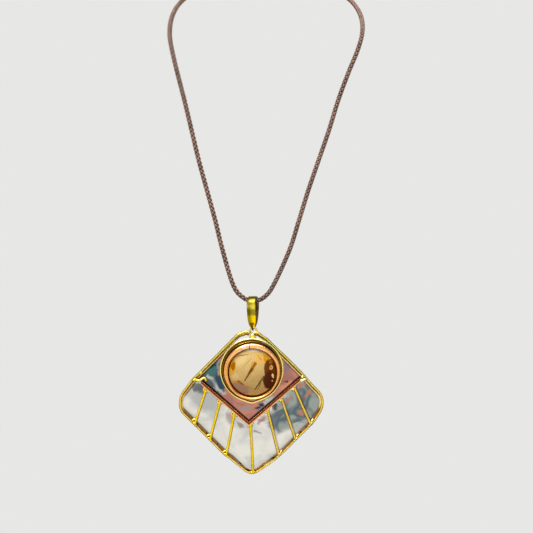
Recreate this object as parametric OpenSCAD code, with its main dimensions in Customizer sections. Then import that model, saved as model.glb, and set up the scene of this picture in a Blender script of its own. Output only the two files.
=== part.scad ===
// Pendant necklace: a square wire frame hung on its corner from a braided cord.
// Millimetres, +Z up. The origin is the middle of the neck that carries the cord,
// at the height where the cord turns down over the shoulders. The front faces -Y.

/* [Frame wires] */
// Distance between opposite straight sides of the outer wire, centre to centre
frame_side = 52.5; // [50:0.5:56]
// Centre-line radius of the left, right and bottom corners
frame_corner = 7.75; // [6.5:0.25:9]
// Diameter of the outer wire
frame_wire_d = 1.1; // [0.9:0.05:1.3]
// Diameter of the inner wire
inner_wire_d = 1; // [0.8:0.05:1.2]
// Centre-line radius of the two arches at the top
arch_r = 2.3; // [2.1:0.1:2.6]
// Sideways place of the cusp between the two arches
cusp_x = 0.5; // [0:0.1:0.8]
// Length of the shorter post between the arches and the ring round the bezel
post_l = 1.35; // [1:0.05:1.6]

/* [Plate] */
// Thickness of the sheet
plate_t = 0.8; // [0.6:0.05:1]
// Height above the frame's centre at which the sheet is cut off
plate_top = 23.5; // [22:0.5:24.5]

/* [Chevron] */
// Width of the copper strip
chevron_w = 1.5; // [1.2:0.1:1.8]
// Height of the copper strip above the plate
chevron_h = 1.2; // [0.9:0.1:1.6]
// Sideways place of the tip
chevron_tip_x = -1.3; // [-2:0.1:0]
// Depth of the tip below the frame's centre
chevron_drop = 10.5; // [9:0.5:12]
// Slope of the arms
chevron_angle = 41; // [39:0.5:43]
// Sideways reach of the left arm from the frame's centre
chevron_left = 24; // [22:0.5:24.5]
// Sideways reach of the right arm from the frame's centre
chevron_right = 23; // [22:0.5:24.5]

/* [Ray wires] */
// Diameter of the ray wires
ray_d = 1.3; // [1.1:0.05:1.5]
// Depth of the flat filed on a ray where it lies on the plate
ray_flat = 0.12; // [0.05:0.01:0.2]

/* [Bezel] */
// Outer diameter of the cup wall
bezel_d = 26; // [25.5:0.1:26.6]
// Width of the rounded rim
bezel_rim = 1.9; // [1.6:0.1:2.2]
// Height of the rim above the plate
bezel_h = 4.2; // [4.1:0.1:5]
// Amount by which the foot stands out from the cup wall
foot_out = 0.6; // [0.4:0.05:0.7]
// Height of the foot
foot_h = 0.6; // [0.4:0.1:1]
// Gap between the foot and the wire ring round it
halo_gap = 0.5; // [0.3:0.05:0.7]
// Diameter of the wire of that ring
halo_wire_d = 1.05; // [0.8:0.05:1.2]
// Reach of the drop at the bottom below the ring's round
halo_point = 0.8; // [0.5:0.1:1]

/* [Stone] */
// Width of the rim that hides the stone's edge
rim_cover = 0.3; // [0.2:0.05:0.4]
// Height of the stone's straight edge
stone_edge = 1.6; // [1.2:0.1:1.7]
// Rise of the dome above that edge
stone_dome = 2.6; // [2:0.1:3]
// Thickness of the backing pad
bed_t = 0.75; // [0.5:0.05:0.8]

/* [Eye and bail] */
// Sideways place of the eye
eye_x = 0.8; // [0.5:0.1:1]
// Height of the eye's centre above the right arch's centre
eye_rise = 2.8; // [2.5:0.1:3.2]
// Centre-line diameter of the eye
eye_d = 3.1; // [3:0.1:3.4]
// Diameter of the eye's wire
eye_wire_d = 0.8; // [0.7:0.05:0.9]
// Width of the bail's band
bail_w = 4.2; // [3.8:0.1:4.6]
// Width of the band where it passes through the eye
bail_tip_w = 0.9; // [0.7:0.05:0.95]
// Thickness of the band
bail_t = 0.7; // [0.6:0.05:0.8]
// Depth of the bail, front to back
bail_depth = 8.4; // [7.6:0.2:9.2]
// Height of the bail, outside
bail_h = 16.4; // [15:0.2:18]
// Turn of the bail about the vertical
bail_turn = 13; // [0:1:18]

/* [Cord] */
// Diameter of the braided cord
cord_d = 2.5; // [2.2:0.1:2.7]
// Length of the bore that holds the cord's end
cap_bore = 6.5; // [5:0.5:7]
// Wall of the end cap
cap_wall = 0.65; // [0.5:0.05:0.9]
// Diameter of the end cap's loop, outside
loop_d = 2.6; // [2.4:0.1:3]
// Thickness of the end cap's loop
loop_t = 0.9; // [0.7:0.1:1]

/* [Clasp] */
// Wire diameter of the small jump ring
small_ring_wire = 0.7; // [0.6:0.05:0.75]
// Centre-line diameter of the small jump ring
small_ring_d = 3.5; // [3.3:0.1:4]
// Wire diameter of the large jump ring
large_ring_wire = 0.9; // [0.8:0.05:0.95]
// Centre-line diameter of the large jump ring
large_ring_d = 5; // [4.9:0.1:5.4]
// Thickness of the clasp
clasp_t = 2.4; // [2.2:0.1:2.5]
// Inner radius of the hook
hook_r = 2.3; // [2.1:0.1:2.5]
// Width of the hook's arm
hook_w = 1.1; // [0.9:0.1:1.3]
// Diameter of the lever's pin
pin_d = 0.8; // [0.7:0.05:0.9]
// Thickness of the lever
lever_t = 1.1; // [0.9:0.1:1.2]

/* [Hidden] */
$fn = 64;

// Clearances
wire_gap = 0.06;
plate_gap = 0.14;
seat_gap = 0.03;
stone_gap = 0.1;
eye_gap = 0.05;
bail_play = 0.2;
cord_play = 0.5;
cap_play = 0.05;
ring_play = 0.1;
ring_pull = 0.1;
pin_play = 0.05;
lever_play = 0.1;
// Reach of the helper shapes that cut or limit others
past = 40;

// The cord's route from the left end cap, down through the bail and up to the right end cap
route = [
    [-10.5, 34, 57.5], [-17.5, 34, 57.5], [-24.5, 33.5, 57.3], [-31.5, 29.5, 55.6], [-38, 21, 51],
    [-43.5, 8.5, 43.3], [-46.8, -6, 32.6], [-48, -20.5, 20.4], [-47.5, -31, 9], [-46, -36, 0.5],
    [-43.5, -36.5, -10.5], [-39.5, -37, -26], [-36, -37.5, -40.5], [-32.5, -38, -55],
    [-28.5, -38.5, -69.5], [-24.5, -39, -84], [-21, -39.5, -98], [-16, -40, -114.5],
    [-11.5, -40, -120.5], [-6.2, -40, -122.5], [-1, -40, -120.5], [3.5, -40, -114.5],
    [11, -39.5, -98], [15.5, -39, -84], [20, -38.5, -69.5], [25, -38, -55], [30, -37.5, -40.5],
    [34.5, -37, -26], [39.5, -36.5, -12.5], [44, -36, -1.5], [47, -31, 9], [48, -20.5, 20.4],
    [46.8, -6, 32.6], [43.5, 8.5, 43.4], [38, 21, 51.3], [31.5, 29.5, 56.2], [24.5, 33.5, 58],
    [17.5, 34, 58.2], [10.5, 34, 58.2]
];
lowest = 19;
cord_sides = 8;
steps = 2;
// A direction that the cord never runs along, from which its corners are counted
cord_guide = [0.05, 0.95, 0.3];

// Sideways places of the rays' heads on the chevron and of their feet on the frame, for a drawn side
drawn_side = 52.5;
spread = frame_side / drawn_side;
ray_heads = spread * [-21.3, -14.7, -8, -0.6, 7.3, 13.7, 19.6];
ray_feet = spread * [-26.8, -19.6, -12, 0.7, 12.6, 20.3, 27.4];
chevron_ends = [-chevron_left * spread, chevron_tip_x, chevron_right * spread];
// Ends of the two tie wires: sideways place on the frame, then the inner end
tie_left_foot = -26.2 * spread;
tie_left_head = [-22.2, 11.6] * spread;
tie_right_foot = 25.4 * spread;
// Solder radii
foot_solder = 0.95;
head_solder = 0.85;
top_solder = 1.25;
eye_solder = 0.75;

// Depths, counted forwards from the plane of the eye
frame_z = eye_wire_d / 2 + eye_gap + frame_wire_d / 2;
seat_z = frame_z + frame_wire_d / 2;
inner_z = seat_z - inner_wire_d / 2;
ray_z = seat_z + ray_d / 2 - ray_flat;
halo_z = seat_z + halo_wire_d / 2 + seat_gap;

// Distances of the straight sides from the frame's centre
frame_h = frame_side / 2;
wire_step = (frame_wire_d + inner_wire_d) / 2 + wire_gap;
inner_h = frame_h - wire_step;
plate_h = inner_h - inner_wire_d / 2 - plate_gap;
inner_corner = frame_corner - wire_step;
inner_arch = arch_r - wire_step;
// Turn of the outer wire over an arch, and of the inner wire below it
arch_turn = 135;
inner_turn = 90;
plate_corner = inner_corner - inner_wire_d / 2 - plate_gap;
post_x = (frame_wire_d + wire_gap) / 2;
arch_side = frame_h - arch_r;
arch_right = hundredths(arch_side - (post_x + cusp_x + arch_r) * sqrt(2));
arch_left = hundredths(arch_side - (post_x - cusp_x + arch_r) * sqrt(2));

// Bezel and stone. The ring round the bezel reaches up to the posts' lower ends.
arch_up = (arch_side + arch_right) / sqrt(2);
halo_r = bezel_d / 2 + foot_out + halo_gap + halo_wire_d / 2;
post_end = arch_up - post_l;
bezel_up = post_end - halo_r + halo_wire_d / 2;
eye_up = arch_up + eye_rise;
stone_r = bezel_d / 2 - bezel_rim + rim_cover;
cup_r = stone_r + stone_gap;
rim_r = bezel_rim / 2;
stone_z = seat_z + bed_t;
dome_r = (stone_r * stone_r + stone_dome * stone_dome) / (2 * stone_dome);
// Diameter of the drop at the ring's bottom, in wire diameters
drop_share = 1.2;
halo_drop_d = drop_share * halo_wire_d;

// Bail and hang, counted from the eye's centre
bail_low = eye_d / 2;
bail_in = eye_wire_d / 2 + bail_play;
bail_out = bail_in + bail_t;
bail_r = bail_depth / 2;
bail_high = bail_low - bail_out + bail_h - bail_r;
cord_up = bail_high + bail_r - bail_t - cord_play - cord_d / 2;
bail_shoulder = 1.4;
bail_waist = 4;
bail_waist_w = 2.9;
eye_place = route[lowest] - [0, 0, cord_up];

// Clasp chain, along X behind the neck
left_end = route[0];
right_end = route[len(route) - 1];
cap_lip = 0.8;
loop_wall = 0.5;
loop_hole = loop_d / 2 - loop_wall;
loop_reach = cap_wall + loop_hole;
left_hole = left_end + [loop_reach, 0, 0];
right_hole = right_end - [loop_reach, 0, 0];
small_ring_place = left_hole + [ring_pull + small_ring_d / 2, 0, 0];
large_ring_place = right_hole - [ring_pull + large_ring_d / 2, 0, 0];
clasp_hole = 0.85;
clasp_eye_wall = 0.75;
clasp_eye_r = clasp_hole + clasp_eye_wall;
clasp_eye_t = 1.2;
clasp_neck = 1.12;
clasp_place = small_ring_place + [small_ring_d / 2 + ring_pull, 0, 0];

// Clasp, drawn from its eye: the hook's arm passes through the large ring
ring_middle = large_ring_place - clasp_place;
ring_hole = (large_ring_d - large_ring_wire) / 2;
ring_top = ring_middle.z + large_ring_wire / 2;
roll_room = 0.35;
arm_inside = sqrt(pow(ring_hole, 2) - pow(clasp_t / 2 + roll_room, 2)) - ring_play;
hook_x = ring_middle.x - arm_inside - sqrt(pow(hook_r, 2) - pow(ring_top, 2));
hook_out = hook_r + hook_w;
cheek_run = 2.2;
cheek_half = 2.2;
cheek_bite = 0.4;
cheek_end = hook_x - hook_r + cheek_bite;
boss_r = 1;
pivot_back = 1.35;
pivot_down = 1.05;
pivot = [cheek_end - pivot_back, -pivot_down];
// Corners of the lever's thumb tab, counted from the pivot
thumb_tab = [[-0.3, -0.8], [1.5, -0.5], [1, -2.9], [0.3, -2.9]];
slot_t = lever_t + 2 * lever_play;
slot_room = 0.35;
slot_top = pivot.y + boss_r + slot_room;
gate_tip = -64;
gate_root = -150;
gate_gap = 0.12;
gate_reach = norm([hook_x + hook_r * cos(gate_tip), hook_r * sin(gate_tip)] - pivot);
leaf_t = 0.2;

function along(a, b, c, d, t) = 0.5 * (2 * b + (c - a) * t + (2 * a - 5 * b + 4 * c - d) * t * t
    + (3 * b - a - 3 * c + d) * t * t * t);
function route_point(i) = route[max(0, min(len(route) - 1, i))];
function cord_point(k) = let (i = floor(k / steps), t = k / steps - i)
    along(route_point(i - 1), route_point(i), route_point(i + 1), route_point(i + 2), t);
function unit(v) = v / norm(v);
function hundredths(v) = round(100 * v) / 100;
function frame_shoulder(x) = [x, frame_h * sqrt(2) - abs(x)];
function corner_depth(x) = (frame_h - frame_corner) * sqrt(2) + sqrt(max(0, pow(frame_corner, 2) - x * x));
function frame_foot(x) =
    [x, -(abs(x) < frame_corner / sqrt(2) ? corner_depth(x) : frame_h * sqrt(2) - abs(x))];
function chevron_point(x) = [x, -chevron_drop + abs(x - chevron_tip_x) * tan(chevron_angle)];
function shifted(side) = side * chevron_w / 2 / cos(chevron_angle);

// Turns a piece drawn face up on the ground plane to face -Y, with its drawing's up along +Z
module stand(place) {
    translate(place) rotate([90, 0, 0]) children();
}

module pendant() {
    stand(eye_place) translate([-eye_x, -eye_up, 0]) children();
}

module wire(from, to, depth, d) {
    way = to - from;
    translate([from.x, from.y, depth]) rotate([0, 90, atan2(way.y, way.x)]) cylinder(h = norm(way), d = d);
}

module bend(centre, r, from, to, depth, d) {
    translate([centre.x, centre.y, depth]) rotate(from) rotate_extrude(angle = to - from)
        translate([r, 0]) circle(d = d);
}

// The frame's square, drawn with level sides: its open corner, at [h, h], is the top of the pendant
module square_wire(h, corner, d, depth) {
    c = h - corner;
    bend([-c, c], corner, 90, 180, depth, d);
    bend([-c, -c], corner, 180, 270, depth, d);
    bend([c, -c], corner, 270, 360, depth, d);
    wire([-c, h], [arch_left, h], depth, d);
    wire([-h, -c], [-h, c], depth, d);
    wire([-c, -h], [c, -h], depth, d);
    wire([h, -c], [h, arch_right], depth, d);
}

module outer_frame_wire() {
    color("gold") pendant() rotate(45) {
        square_wire(frame_h, frame_corner, frame_wire_d, frame_z);
        bend([arch_side, arch_right], arch_r, 0, arch_turn, frame_z, frame_wire_d);
        mirror([1, -1, 0]) bend([arch_side, arch_left], arch_r, 0, arch_turn, frame_z, frame_wire_d);
    }
}

// A post below the end of the arch whose centre is at that place along its side
module post(arch) {
    x = (arch_side - arch) / sqrt(2) - arch_r;
    wire([x, post_end], [x, (arch_side + arch) / sqrt(2)], frame_z, frame_wire_d);
}

module top_posts() {
    color("gold") pendant() {
        post(arch_right);
        mirror([1, 0, 0]) post(arch_left);
    }
}

module inner_frame_wire() {
    color("darkgoldenrod") pendant() rotate(45) {
        square_wire(inner_h, inner_corner, inner_wire_d, inner_z);
        bend([arch_side, arch_right], inner_arch, 0, inner_turn, inner_z, inner_wire_d);
        mirror([1, -1, 0]) bend([arch_side, arch_left], inner_arch, 0, inner_turn, inner_z, inner_wire_d);
    }
}

module rounded_diamond(h, corner) {
    rotate(45) {
        square([2 * h, 2 * (h - corner)], center = true);
        square([2 * (h - corner), 2 * h], center = true);
        for (x = [-1, 1], y = [-1, 1])
            translate([x, y] * (h - corner)) circle(corner);
    }
}

module back_plate() {
    color("silver") pendant() translate([0, 0, seat_z - plate_t]) linear_extrude(plate_t) {
        intersection() {
            rounded_diamond(plate_h, plate_corner);
            union() {
                translate([-past, -2 * past + plate_top]) square(2 * past);
                translate([0, bezel_up]) circle(halo_r - halo_wire_d / 2 - plate_gap);
            }
        }
    }
}

module chevron_outline() {
    upper = [for (x = chevron_ends) chevron_point(x) + [0, shifted(1)]];
    lower = [for (i = [2, 1, 0]) chevron_point(chevron_ends[i]) + [0, shifted(-1)]];
    polygon(concat(upper, lower));
}

module chevron_strip() {
    translate([0, 0, seat_z]) linear_extrude(chevron_h) chevron_outline();
}

module chevron() {
    color("sienna") pendant() chevron_strip();
}

// A wire with a flat underside that lies on the plate and stops at the chevron
module laid_wire(head, foot) {
    color("goldenrod") pendant() difference() {
        wire(head, foot, ray_z, ray_d);
        translate([-past, -past, seat_z - ray_d]) cube([2 * past, 2 * past, ray_d]);
        chevron_strip();
    }
}

module ray(i) {
    laid_wire(chevron_point(ray_heads[i - 1]), frame_foot(ray_feet[i - 1]));
}

module tie_left() {
    laid_wire(tie_left_head, frame_shoulder(tie_left_foot));
}

module tie_right() {
    laid_wire(chevron_point(chevron_ends[2]), frame_shoulder(tie_right_foot));
}

module bezel_wall() {
    wall_r = bezel_d / 2;
    color("peru") pendant() translate([0, bezel_up, seat_z]) rotate_extrude() {
        translate([cup_r, 0]) square([wall_r - cup_r, bezel_h - rim_r]);
        translate([wall_r - rim_r, bezel_h - rim_r]) circle(rim_r);
        translate([cup_r, 0]) square([wall_r + foot_out - cup_r, foot_h]);
    }
}

module halo_ring() {
    drop_r = halo_drop_d / 2;
    color("gold") pendant() translate([0, bezel_up, halo_z]) {
        rotate_extrude() translate([halo_r, 0]) circle(d = halo_wire_d);
        translate([0, drop_r - halo_r - halo_wire_d / 2 - halo_point, 0]) sphere(drop_r);
    }
}

module stone() {
    color("tan") pendant() translate([0, bezel_up, stone_z]) intersection() {
        cylinder(h = stone_edge + stone_dome, r = stone_r);
        translate([0, 0, stone_edge + stone_dome - dome_r]) sphere(dome_r);
    }
}

module stone_bed() {
    color("dimgray") pendant() translate([0, bezel_up, seat_z]) cylinder(h = bed_t, r = stone_r);
}

module hanging_eye() {
    color("gold") pendant() translate([eye_x, eye_up, 0]) rotate_extrude()
        translate([eye_d / 2, 0]) circle(d = eye_wire_d);
}

// A drop of solder that sits on the plane of the plate's front
module solder_drop(place, r) {
    translate([place.x, place.y, seat_z]) intersection() {
        sphere(r);
        translate([-r, -r, 0]) cube(2 * r);
    }
}

// A quarter of a drop in the corner between the plate and the chevron's lower side
module head_drop(x) {
    place = chevron_point(x) + [0, shifted(-1)];
    translate([place.x, place.y, seat_z]) rotate(sign(x - chevron_tip_x) * chevron_angle) intersection() {
        sphere(head_solder);
        translate([-head_solder, -2 * head_solder - seat_gap, 0]) cube(2 * head_solder);
    }
}

module solder_joints() {
    color("khaki") pendant() {
        for (x = ray_feet)
            solder_drop(frame_foot(x) - unit(frame_foot(x)) * wire_step / 2, foot_solder);
        for (x = ray_heads) head_drop(x);
        solder_drop(tie_left_head, head_solder);
        solder_drop([cusp_x, post_end + top_solder], top_solder);
        translate([eye_x, eye_up - eye_d / 2, 0]) cylinder(h = frame_z, r = eye_solder);
    }
}

// Outline of the bail seen from the side, between a large and a small round
module bail_side(big, small) {
    lean = asin((big - small) / (bail_high - bail_low));
    n = [cos(lean), -sin(lean)];
    translate([0, bail_high]) circle(big);
    translate([0, bail_low]) circle(small);
    polygon([
        [n.x * big, bail_high + n.y * big], [-n.x * big, bail_high + n.y * big],
        [-n.x * small, bail_low + n.y * small], [n.x * small, bail_low + n.y * small]
    ]);
}

module bail_front() {
    half = [bail_tip_w, bail_tip_w, bail_waist_w, bail_w, bail_w] / 2;
    up = [-2 * bail_out, 0, bail_shoulder, bail_waist, bail_h];
    translate([0, bail_low]) polygon(concat(
        [for (i = [0 : 4]) [half[i], up[i]]],
        [for (i = [4 : -1 : 0]) [-half[i], up[i]]]
    ));
}

module bail() {
    color("gold") translate(eye_place) rotate([0, 0, -bail_turn]) intersection() {
        rotate([90, 0, 90]) linear_extrude(bail_w, center = true) difference() {
            bail_side(bail_r, bail_out);
            bail_side(bail_r - bail_t, bail_in);
        }
        rotate([90, 0, 0]) linear_extrude(2 * bail_depth, center = true) bail_front();
    }
}

// The cord: one tube swept along the route
module cord() {
    last = (len(route) - 1) * steps;
    centres = [for (k = [0 : last]) cord_point(k)];
    turns = [for (k = [0 : last]) unit(centres[min(last, k + 1)] - centres[max(0, k - 1)])];
    sides = [for (t = turns) unit(cross(t, cord_guide))];
    points = [for (k = [0 : last], s = [0 : cord_sides - 1])
        let (angle = 360 * s / cord_sides, across = cross(turns[k], sides[k]))
        centres[k] + cord_d / 2 * (cos(angle) * sides[k] + sin(angle) * across)];
    walls = [for (k = [0 : last - 1], s = [0 : cord_sides - 1], half = [0, 1])
        let (a = k * cord_sides + s, b = k * cord_sides + (s + 1) % cord_sides)
        half == 0 ? [a, b, b + cord_sides] : [a, b + cord_sides, a + cord_sides]];
    first_face = [for (s = [cord_sides - 1 : -1 : 0]) s];
    last_face = [for (s = [0 : cord_sides - 1]) last * cord_sides + s];
    color("saddlebrown") polyhedron(points, concat(walls, [first_face, last_face]));
}

// An end cap with its mouth towards -X and its loop towards +X, placed by the cord's end
module end_cap() {
    bore_r = cord_d / 2 + cap_play;
    cap_r = bore_r + cap_wall;
    difference() {
        union() {
            translate([-cap_bore, 0, 0]) rotate([0, 90, 0]) {
                cylinder(h = cap_bore + cap_wall, r = cap_r);
                cylinder(h = cap_lip, r = cap_r + cap_wall / 2);
            }
            translate([loop_reach, 0, 0]) rotate([90, 0, 0]) cylinder(h = loop_t, d = loop_d, center = true);
        }
        translate([-2 * cap_bore, 0, 0]) rotate([0, 90, 0]) cylinder(h = 2 * cap_bore, r = bore_r);
        translate([loop_reach, 0, 0]) rotate([90, 0, 0])
            cylinder(h = 2 * loop_t, r = loop_hole, center = true);
    }
}

module end_cap_left() {
    color("gold") translate(left_end) end_cap();
}

module end_cap_right() {
    color("gold") translate(right_end) mirror([1, 0, 0]) end_cap();
}

module jump_ring(d, wire_d) {
    rotate_extrude() translate([d / 2, 0]) circle(d = wire_d);
}

module jump_ring_left() {
    color("gold") translate(small_ring_place) jump_ring(small_ring_d, small_ring_wire);
}

module jump_ring_right() {
    color("gold") translate(large_ring_place) jump_ring(large_ring_d, large_ring_wire);
}

// The hook's mouth: what the lever's end sweeps, below the middle of the hook
module hook_gap() {
    intersection() {
        translate(pivot) circle(gate_reach);
        translate([hook_x - past, -past]) square([2 * past, past]);
    }
}

module clasp_outline() {
    difference() {
        union() {
            polygon([
                [clasp_hole, clasp_neck], [cheek_end - cheek_run, cheek_half],
                [hook_x, hook_out], [hook_x, 0],
                [cheek_end, -cheek_half], [cheek_end - cheek_run, -cheek_half], [clasp_hole, -clasp_neck]
            ]);
            difference() {
                translate([hook_x, 0]) circle(hook_out);
                hook_gap();
            }
        }
        translate([hook_x, 0]) circle(hook_r);
    }
}

module clasp_body() {
    slot_left = pivot.x - boss_r - slot_room;
    color("gold") stand(clasp_place) difference() {
        union() {
            linear_extrude(clasp_t, center = true) clasp_outline();
            cylinder(h = clasp_eye_t, r = clasp_eye_r, center = true);
        }
        cylinder(h = 2 * clasp_t, r = clasp_hole, center = true);
        translate([slot_left, slot_top - past, -slot_t / 2]) cube([hook_x - slot_left, past, slot_t]);
        translate([pivot.x, pivot.y, 0]) cylinder(h = 2 * clasp_t, d = pin_d, center = true);
    }
}

module lever_arm() {
    translate([hook_x, 0, 0]) rotate(gate_root) rotate_extrude(angle = -gate_root)
        translate([hook_r + lever_play, -lever_t / 2]) square([hook_w - 2 * lever_play, lever_t]);
}

module clasp_lever() {
    color("goldenrod") stand(clasp_place) difference() {
        union() {
            translate([pivot.x, pivot.y, 0]) cylinder(h = lever_t, r = boss_r, center = true);
            intersection() {
                lever_arm();
                translate([pivot.x, pivot.y, 0])
                    cylinder(h = 2 * lever_t, r = gate_reach - gate_gap, center = true);
            }
            linear_extrude(lever_t, center = true) polygon([for (corner = thumb_tab) pivot + corner]);
        }
        translate([pivot.x, pivot.y, 0]) cylinder(h = 2 * lever_t, d = pin_d + 2 * pin_play, center = true);
    }
}

module clasp_pin() {
    color("darkgoldenrod") stand(clasp_place) translate([pivot.x, pivot.y, 0])
        cylinder(h = clasp_t, d = pin_d, center = true);
}

module clasp_spring() {
    color("gray") stand(clasp_place) translate([pivot.x - boss_r, slot_top - leaf_t, -lever_t / 2])
        cube([2 * boss_r, leaf_t, lever_t]);
}

outer_frame_wire();
inner_frame_wire();
top_posts();
back_plate();
chevron();
ray(1);  // ray_1
ray(2);  // ray_2
ray(3);  // ray_3
ray(4);  // ray_4
ray(5);  // ray_5
ray(6);  // ray_6
ray(7);  // ray_7
tie_left();
tie_right();
bezel_wall();
halo_ring();
stone();
stone_bed();
hanging_eye();
solder_joints();
bail();
cord();
end_cap_left();
end_cap_right();
jump_ring_left();
jump_ring_right();
clasp_body();
clasp_lever();
clasp_pin();
clasp_spring();
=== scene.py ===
"""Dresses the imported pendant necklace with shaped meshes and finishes, and sets up its studio."""

from __future__ import annotations

import logging
import math
from collections.abc import Callable, Iterator, Sequence
from dataclasses import dataclass, field
from enum import Enum

import bmesh
import bpy
from bmesh.types import BMEdge, BMVert
from bpy.types import Material, NodeSocket, NodeTree, Object
from mathutils import Matrix, Vector, noise

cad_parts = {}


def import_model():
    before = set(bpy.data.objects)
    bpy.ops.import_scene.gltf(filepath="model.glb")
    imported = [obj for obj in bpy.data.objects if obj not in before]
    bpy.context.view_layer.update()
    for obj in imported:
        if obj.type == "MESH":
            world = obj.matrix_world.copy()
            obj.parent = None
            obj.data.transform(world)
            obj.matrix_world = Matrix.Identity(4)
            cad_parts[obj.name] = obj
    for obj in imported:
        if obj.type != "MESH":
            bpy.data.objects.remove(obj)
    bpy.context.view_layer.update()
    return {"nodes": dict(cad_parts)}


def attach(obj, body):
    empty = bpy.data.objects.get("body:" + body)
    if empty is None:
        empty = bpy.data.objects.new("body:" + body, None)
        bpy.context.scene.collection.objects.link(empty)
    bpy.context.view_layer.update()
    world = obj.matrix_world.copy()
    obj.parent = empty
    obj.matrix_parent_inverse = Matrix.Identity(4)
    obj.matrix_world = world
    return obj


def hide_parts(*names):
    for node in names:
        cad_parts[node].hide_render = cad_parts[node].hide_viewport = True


Colour = tuple[float, float, float]
Point = tuple[float, float]
Place = tuple[float, float, float]
Ring = tuple[list[BMVert], list[BMEdge]]

LOG = logging.getLogger("necklace")
MM = 0.001
ROOT_TWO = math.sqrt(2)
WORLD = Matrix.Scale(MM, 4)

# The pendant is drawn flat, in millimetres: x to the right, y up, z towards the viewer.
# The drawing's origin, in the middle of the square frame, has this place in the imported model.
MIDDLE: Place = (-7.0, -40.0, -169.99)
PENDANT = Matrix(
    (
        (MM, 0, 0, MIDDLE[0] * MM),
        (0, 0, -MM, MIDDLE[1] * MM),
        (0, MM, 0, MIDDLE[2] * MM),
        (0, 0, 0, 1),
    )
)
# Depth of the plate's face, and how far the cup sinks for each millimetre that it comes forward.
SEAT = 1.55
LEAN = 0.04
# Half the side of the outer wire's square, and the radius of its corners.
HALF = 26.25
CORNER = 7.75
# The cup's middle, the chevron's tip, and the angle of the chevron's arms.
CUP: Point = (0.0, 15.04)
TIP: Point = (-1.3, -10.5)
ARM = math.radians(41)

# The cord's route in metres, from the left end cap, down through the bail and up to the right end cap.
ROUTE = (
    (-0.0105, 0.034, 0.0575), (-0.0175, 0.034, 0.0575), (-0.0245, 0.0335, 0.0573),
    (-0.0315, 0.0295, 0.0556), (-0.038, 0.021, 0.051), (-0.0435, 0.0085, 0.0433),
    (-0.0468, -0.006, 0.0326), (-0.048, -0.0205, 0.0204), (-0.0475, -0.031, 0.009),
    (-0.046, -0.036, 0.0005), (-0.0435, -0.0365, -0.0105), (-0.0395, -0.037, -0.026),
    (-0.036, -0.0375, -0.0405), (-0.0325, -0.038, -0.055), (-0.0285, -0.0385, -0.0695),
    (-0.0245, -0.039, -0.084), (-0.021, -0.0395, -0.098), (-0.016, -0.04, -0.1145),
    (-0.0115, -0.04, -0.1205), (-0.0062, -0.04, -0.1225), (-0.001, -0.04, -0.1205),
    (0.0035, -0.04, -0.1145), (0.011, -0.0395, -0.098), (0.0155, -0.039, -0.084),
    (0.02, -0.0385, -0.0695), (0.025, -0.038, -0.055), (0.03, -0.0375, -0.0405),
    (0.0345, -0.037, -0.026), (0.0395, -0.0365, -0.0125), (0.044, -0.036, -0.0015),
    (0.047, -0.031, 0.009), (0.048, -0.0205, 0.0204), (0.0468, -0.006, 0.0326),
    (0.0435, 0.0085, 0.0434), (0.038, 0.021, 0.0513), (0.0315, 0.0295, 0.0562),
    (0.0245, 0.0335, 0.058), (0.0175, 0.034, 0.0582), (0.0105, 0.034, 0.0582),
)


class Body(Enum):
    """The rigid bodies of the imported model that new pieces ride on."""

    CORD = "neck_cord"
    BAIL = "bail"
    PENDANT = "pendant"


class Slot(Enum):
    """The record's material slots."""

    BRIGHT = "bright_brass"
    DULL = "dull_brass"
    NICKEL = "nickel_silver"
    COPPER = "copper"
    STONE = "cabochon"
    PAD = "pad"
    SOLDER = "solder"
    BRAID = "braid"


def tint(red: int, green: int, blue: int) -> Colour:
    """A linear colour from display values."""
    shares = (red / 255, green / 255, blue / 255)
    return tuple(((c + 0.055) / 1.055) ** 2.4 if c > 0.04 else c / 12.92 for c in shares)


def ease(value: float, low: float, high: float) -> float:
    """A smooth step from 0 at low to 1 at high."""
    t = min(1.0, max(0.0, (value - low) / (high - low)))
    return t * t * (3 - 2 * t)


def circle(count: int) -> list[Point]:
    """Even points on a circle of radius 1."""
    turns = [2 * math.pi * i / count for i in range(count)]
    return [(math.cos(t), math.sin(t)) for t in turns]


@dataclass(frozen=True)
class Bow:
    """A soft bow in one side of the hand-bent frame, in drawing millimetres.

    It pushes the side out in the direction turn, and rises and falls clockwise along the side.
    """

    turn: float
    size: float
    rise: Point
    fall: Point
    near: Point = (16.0, 24.0)

    def out(self) -> Vector:
        """The direction out of the side."""
        return Vector((math.cos(math.radians(self.turn)), math.sin(math.radians(self.turn))))

    def push(self, x: float, y: float) -> Vector:
        """How far a place near the side is pushed out."""
        out = self.out()
        along = x * out.y - y * out.x
        near = ease(x * out.x + y * out.y, *self.near)
        return out * (self.size * near * ease(along, *self.rise) * (1 - ease(along, *self.fall)))


BOWS = (
    Bow(135, 0.85, (-20, -12), (17, 22)),
    Bow(225, 0.6, (-13, -8), (20, 25)),
    Bow(315, 1.25, (-22, -12), (4, 24)),
    Bow(45, -0.5, (6, 16), (24, 28)),
)
# The bottom corner is pinched to a blunt point, the right shoulder and the left arch are pressed down,
# and the right arch is drawn to the left.
PINCH = 0.85
SHOULDER = 0.3
PRESS = 0.75
DRAW = 1.3


def bent(x: float, y: float) -> Vector:
    """A place on the hand-bent frame, with bowed sides, low arches and a pointed bottom corner."""
    place = sum((bow.push(x, y) for bow in BOWS), Vector((x, y)))
    pinch = ease(-y, 24, 30) * math.exp(-(((abs(x) - 4.8) / 2.7) ** 2))
    place.y += PINCH * pinch - SHOULDER * ease(x, 2, 6) * ease(y, 20, 27)
    if x < 0:
        place.y -= PRESS * ease(x, -6.5, -2.5) * ease(y, 29.5, 32)
    else:
        place.x -= DRAW * ease(y, 29.5, 32.8)
    return place


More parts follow.
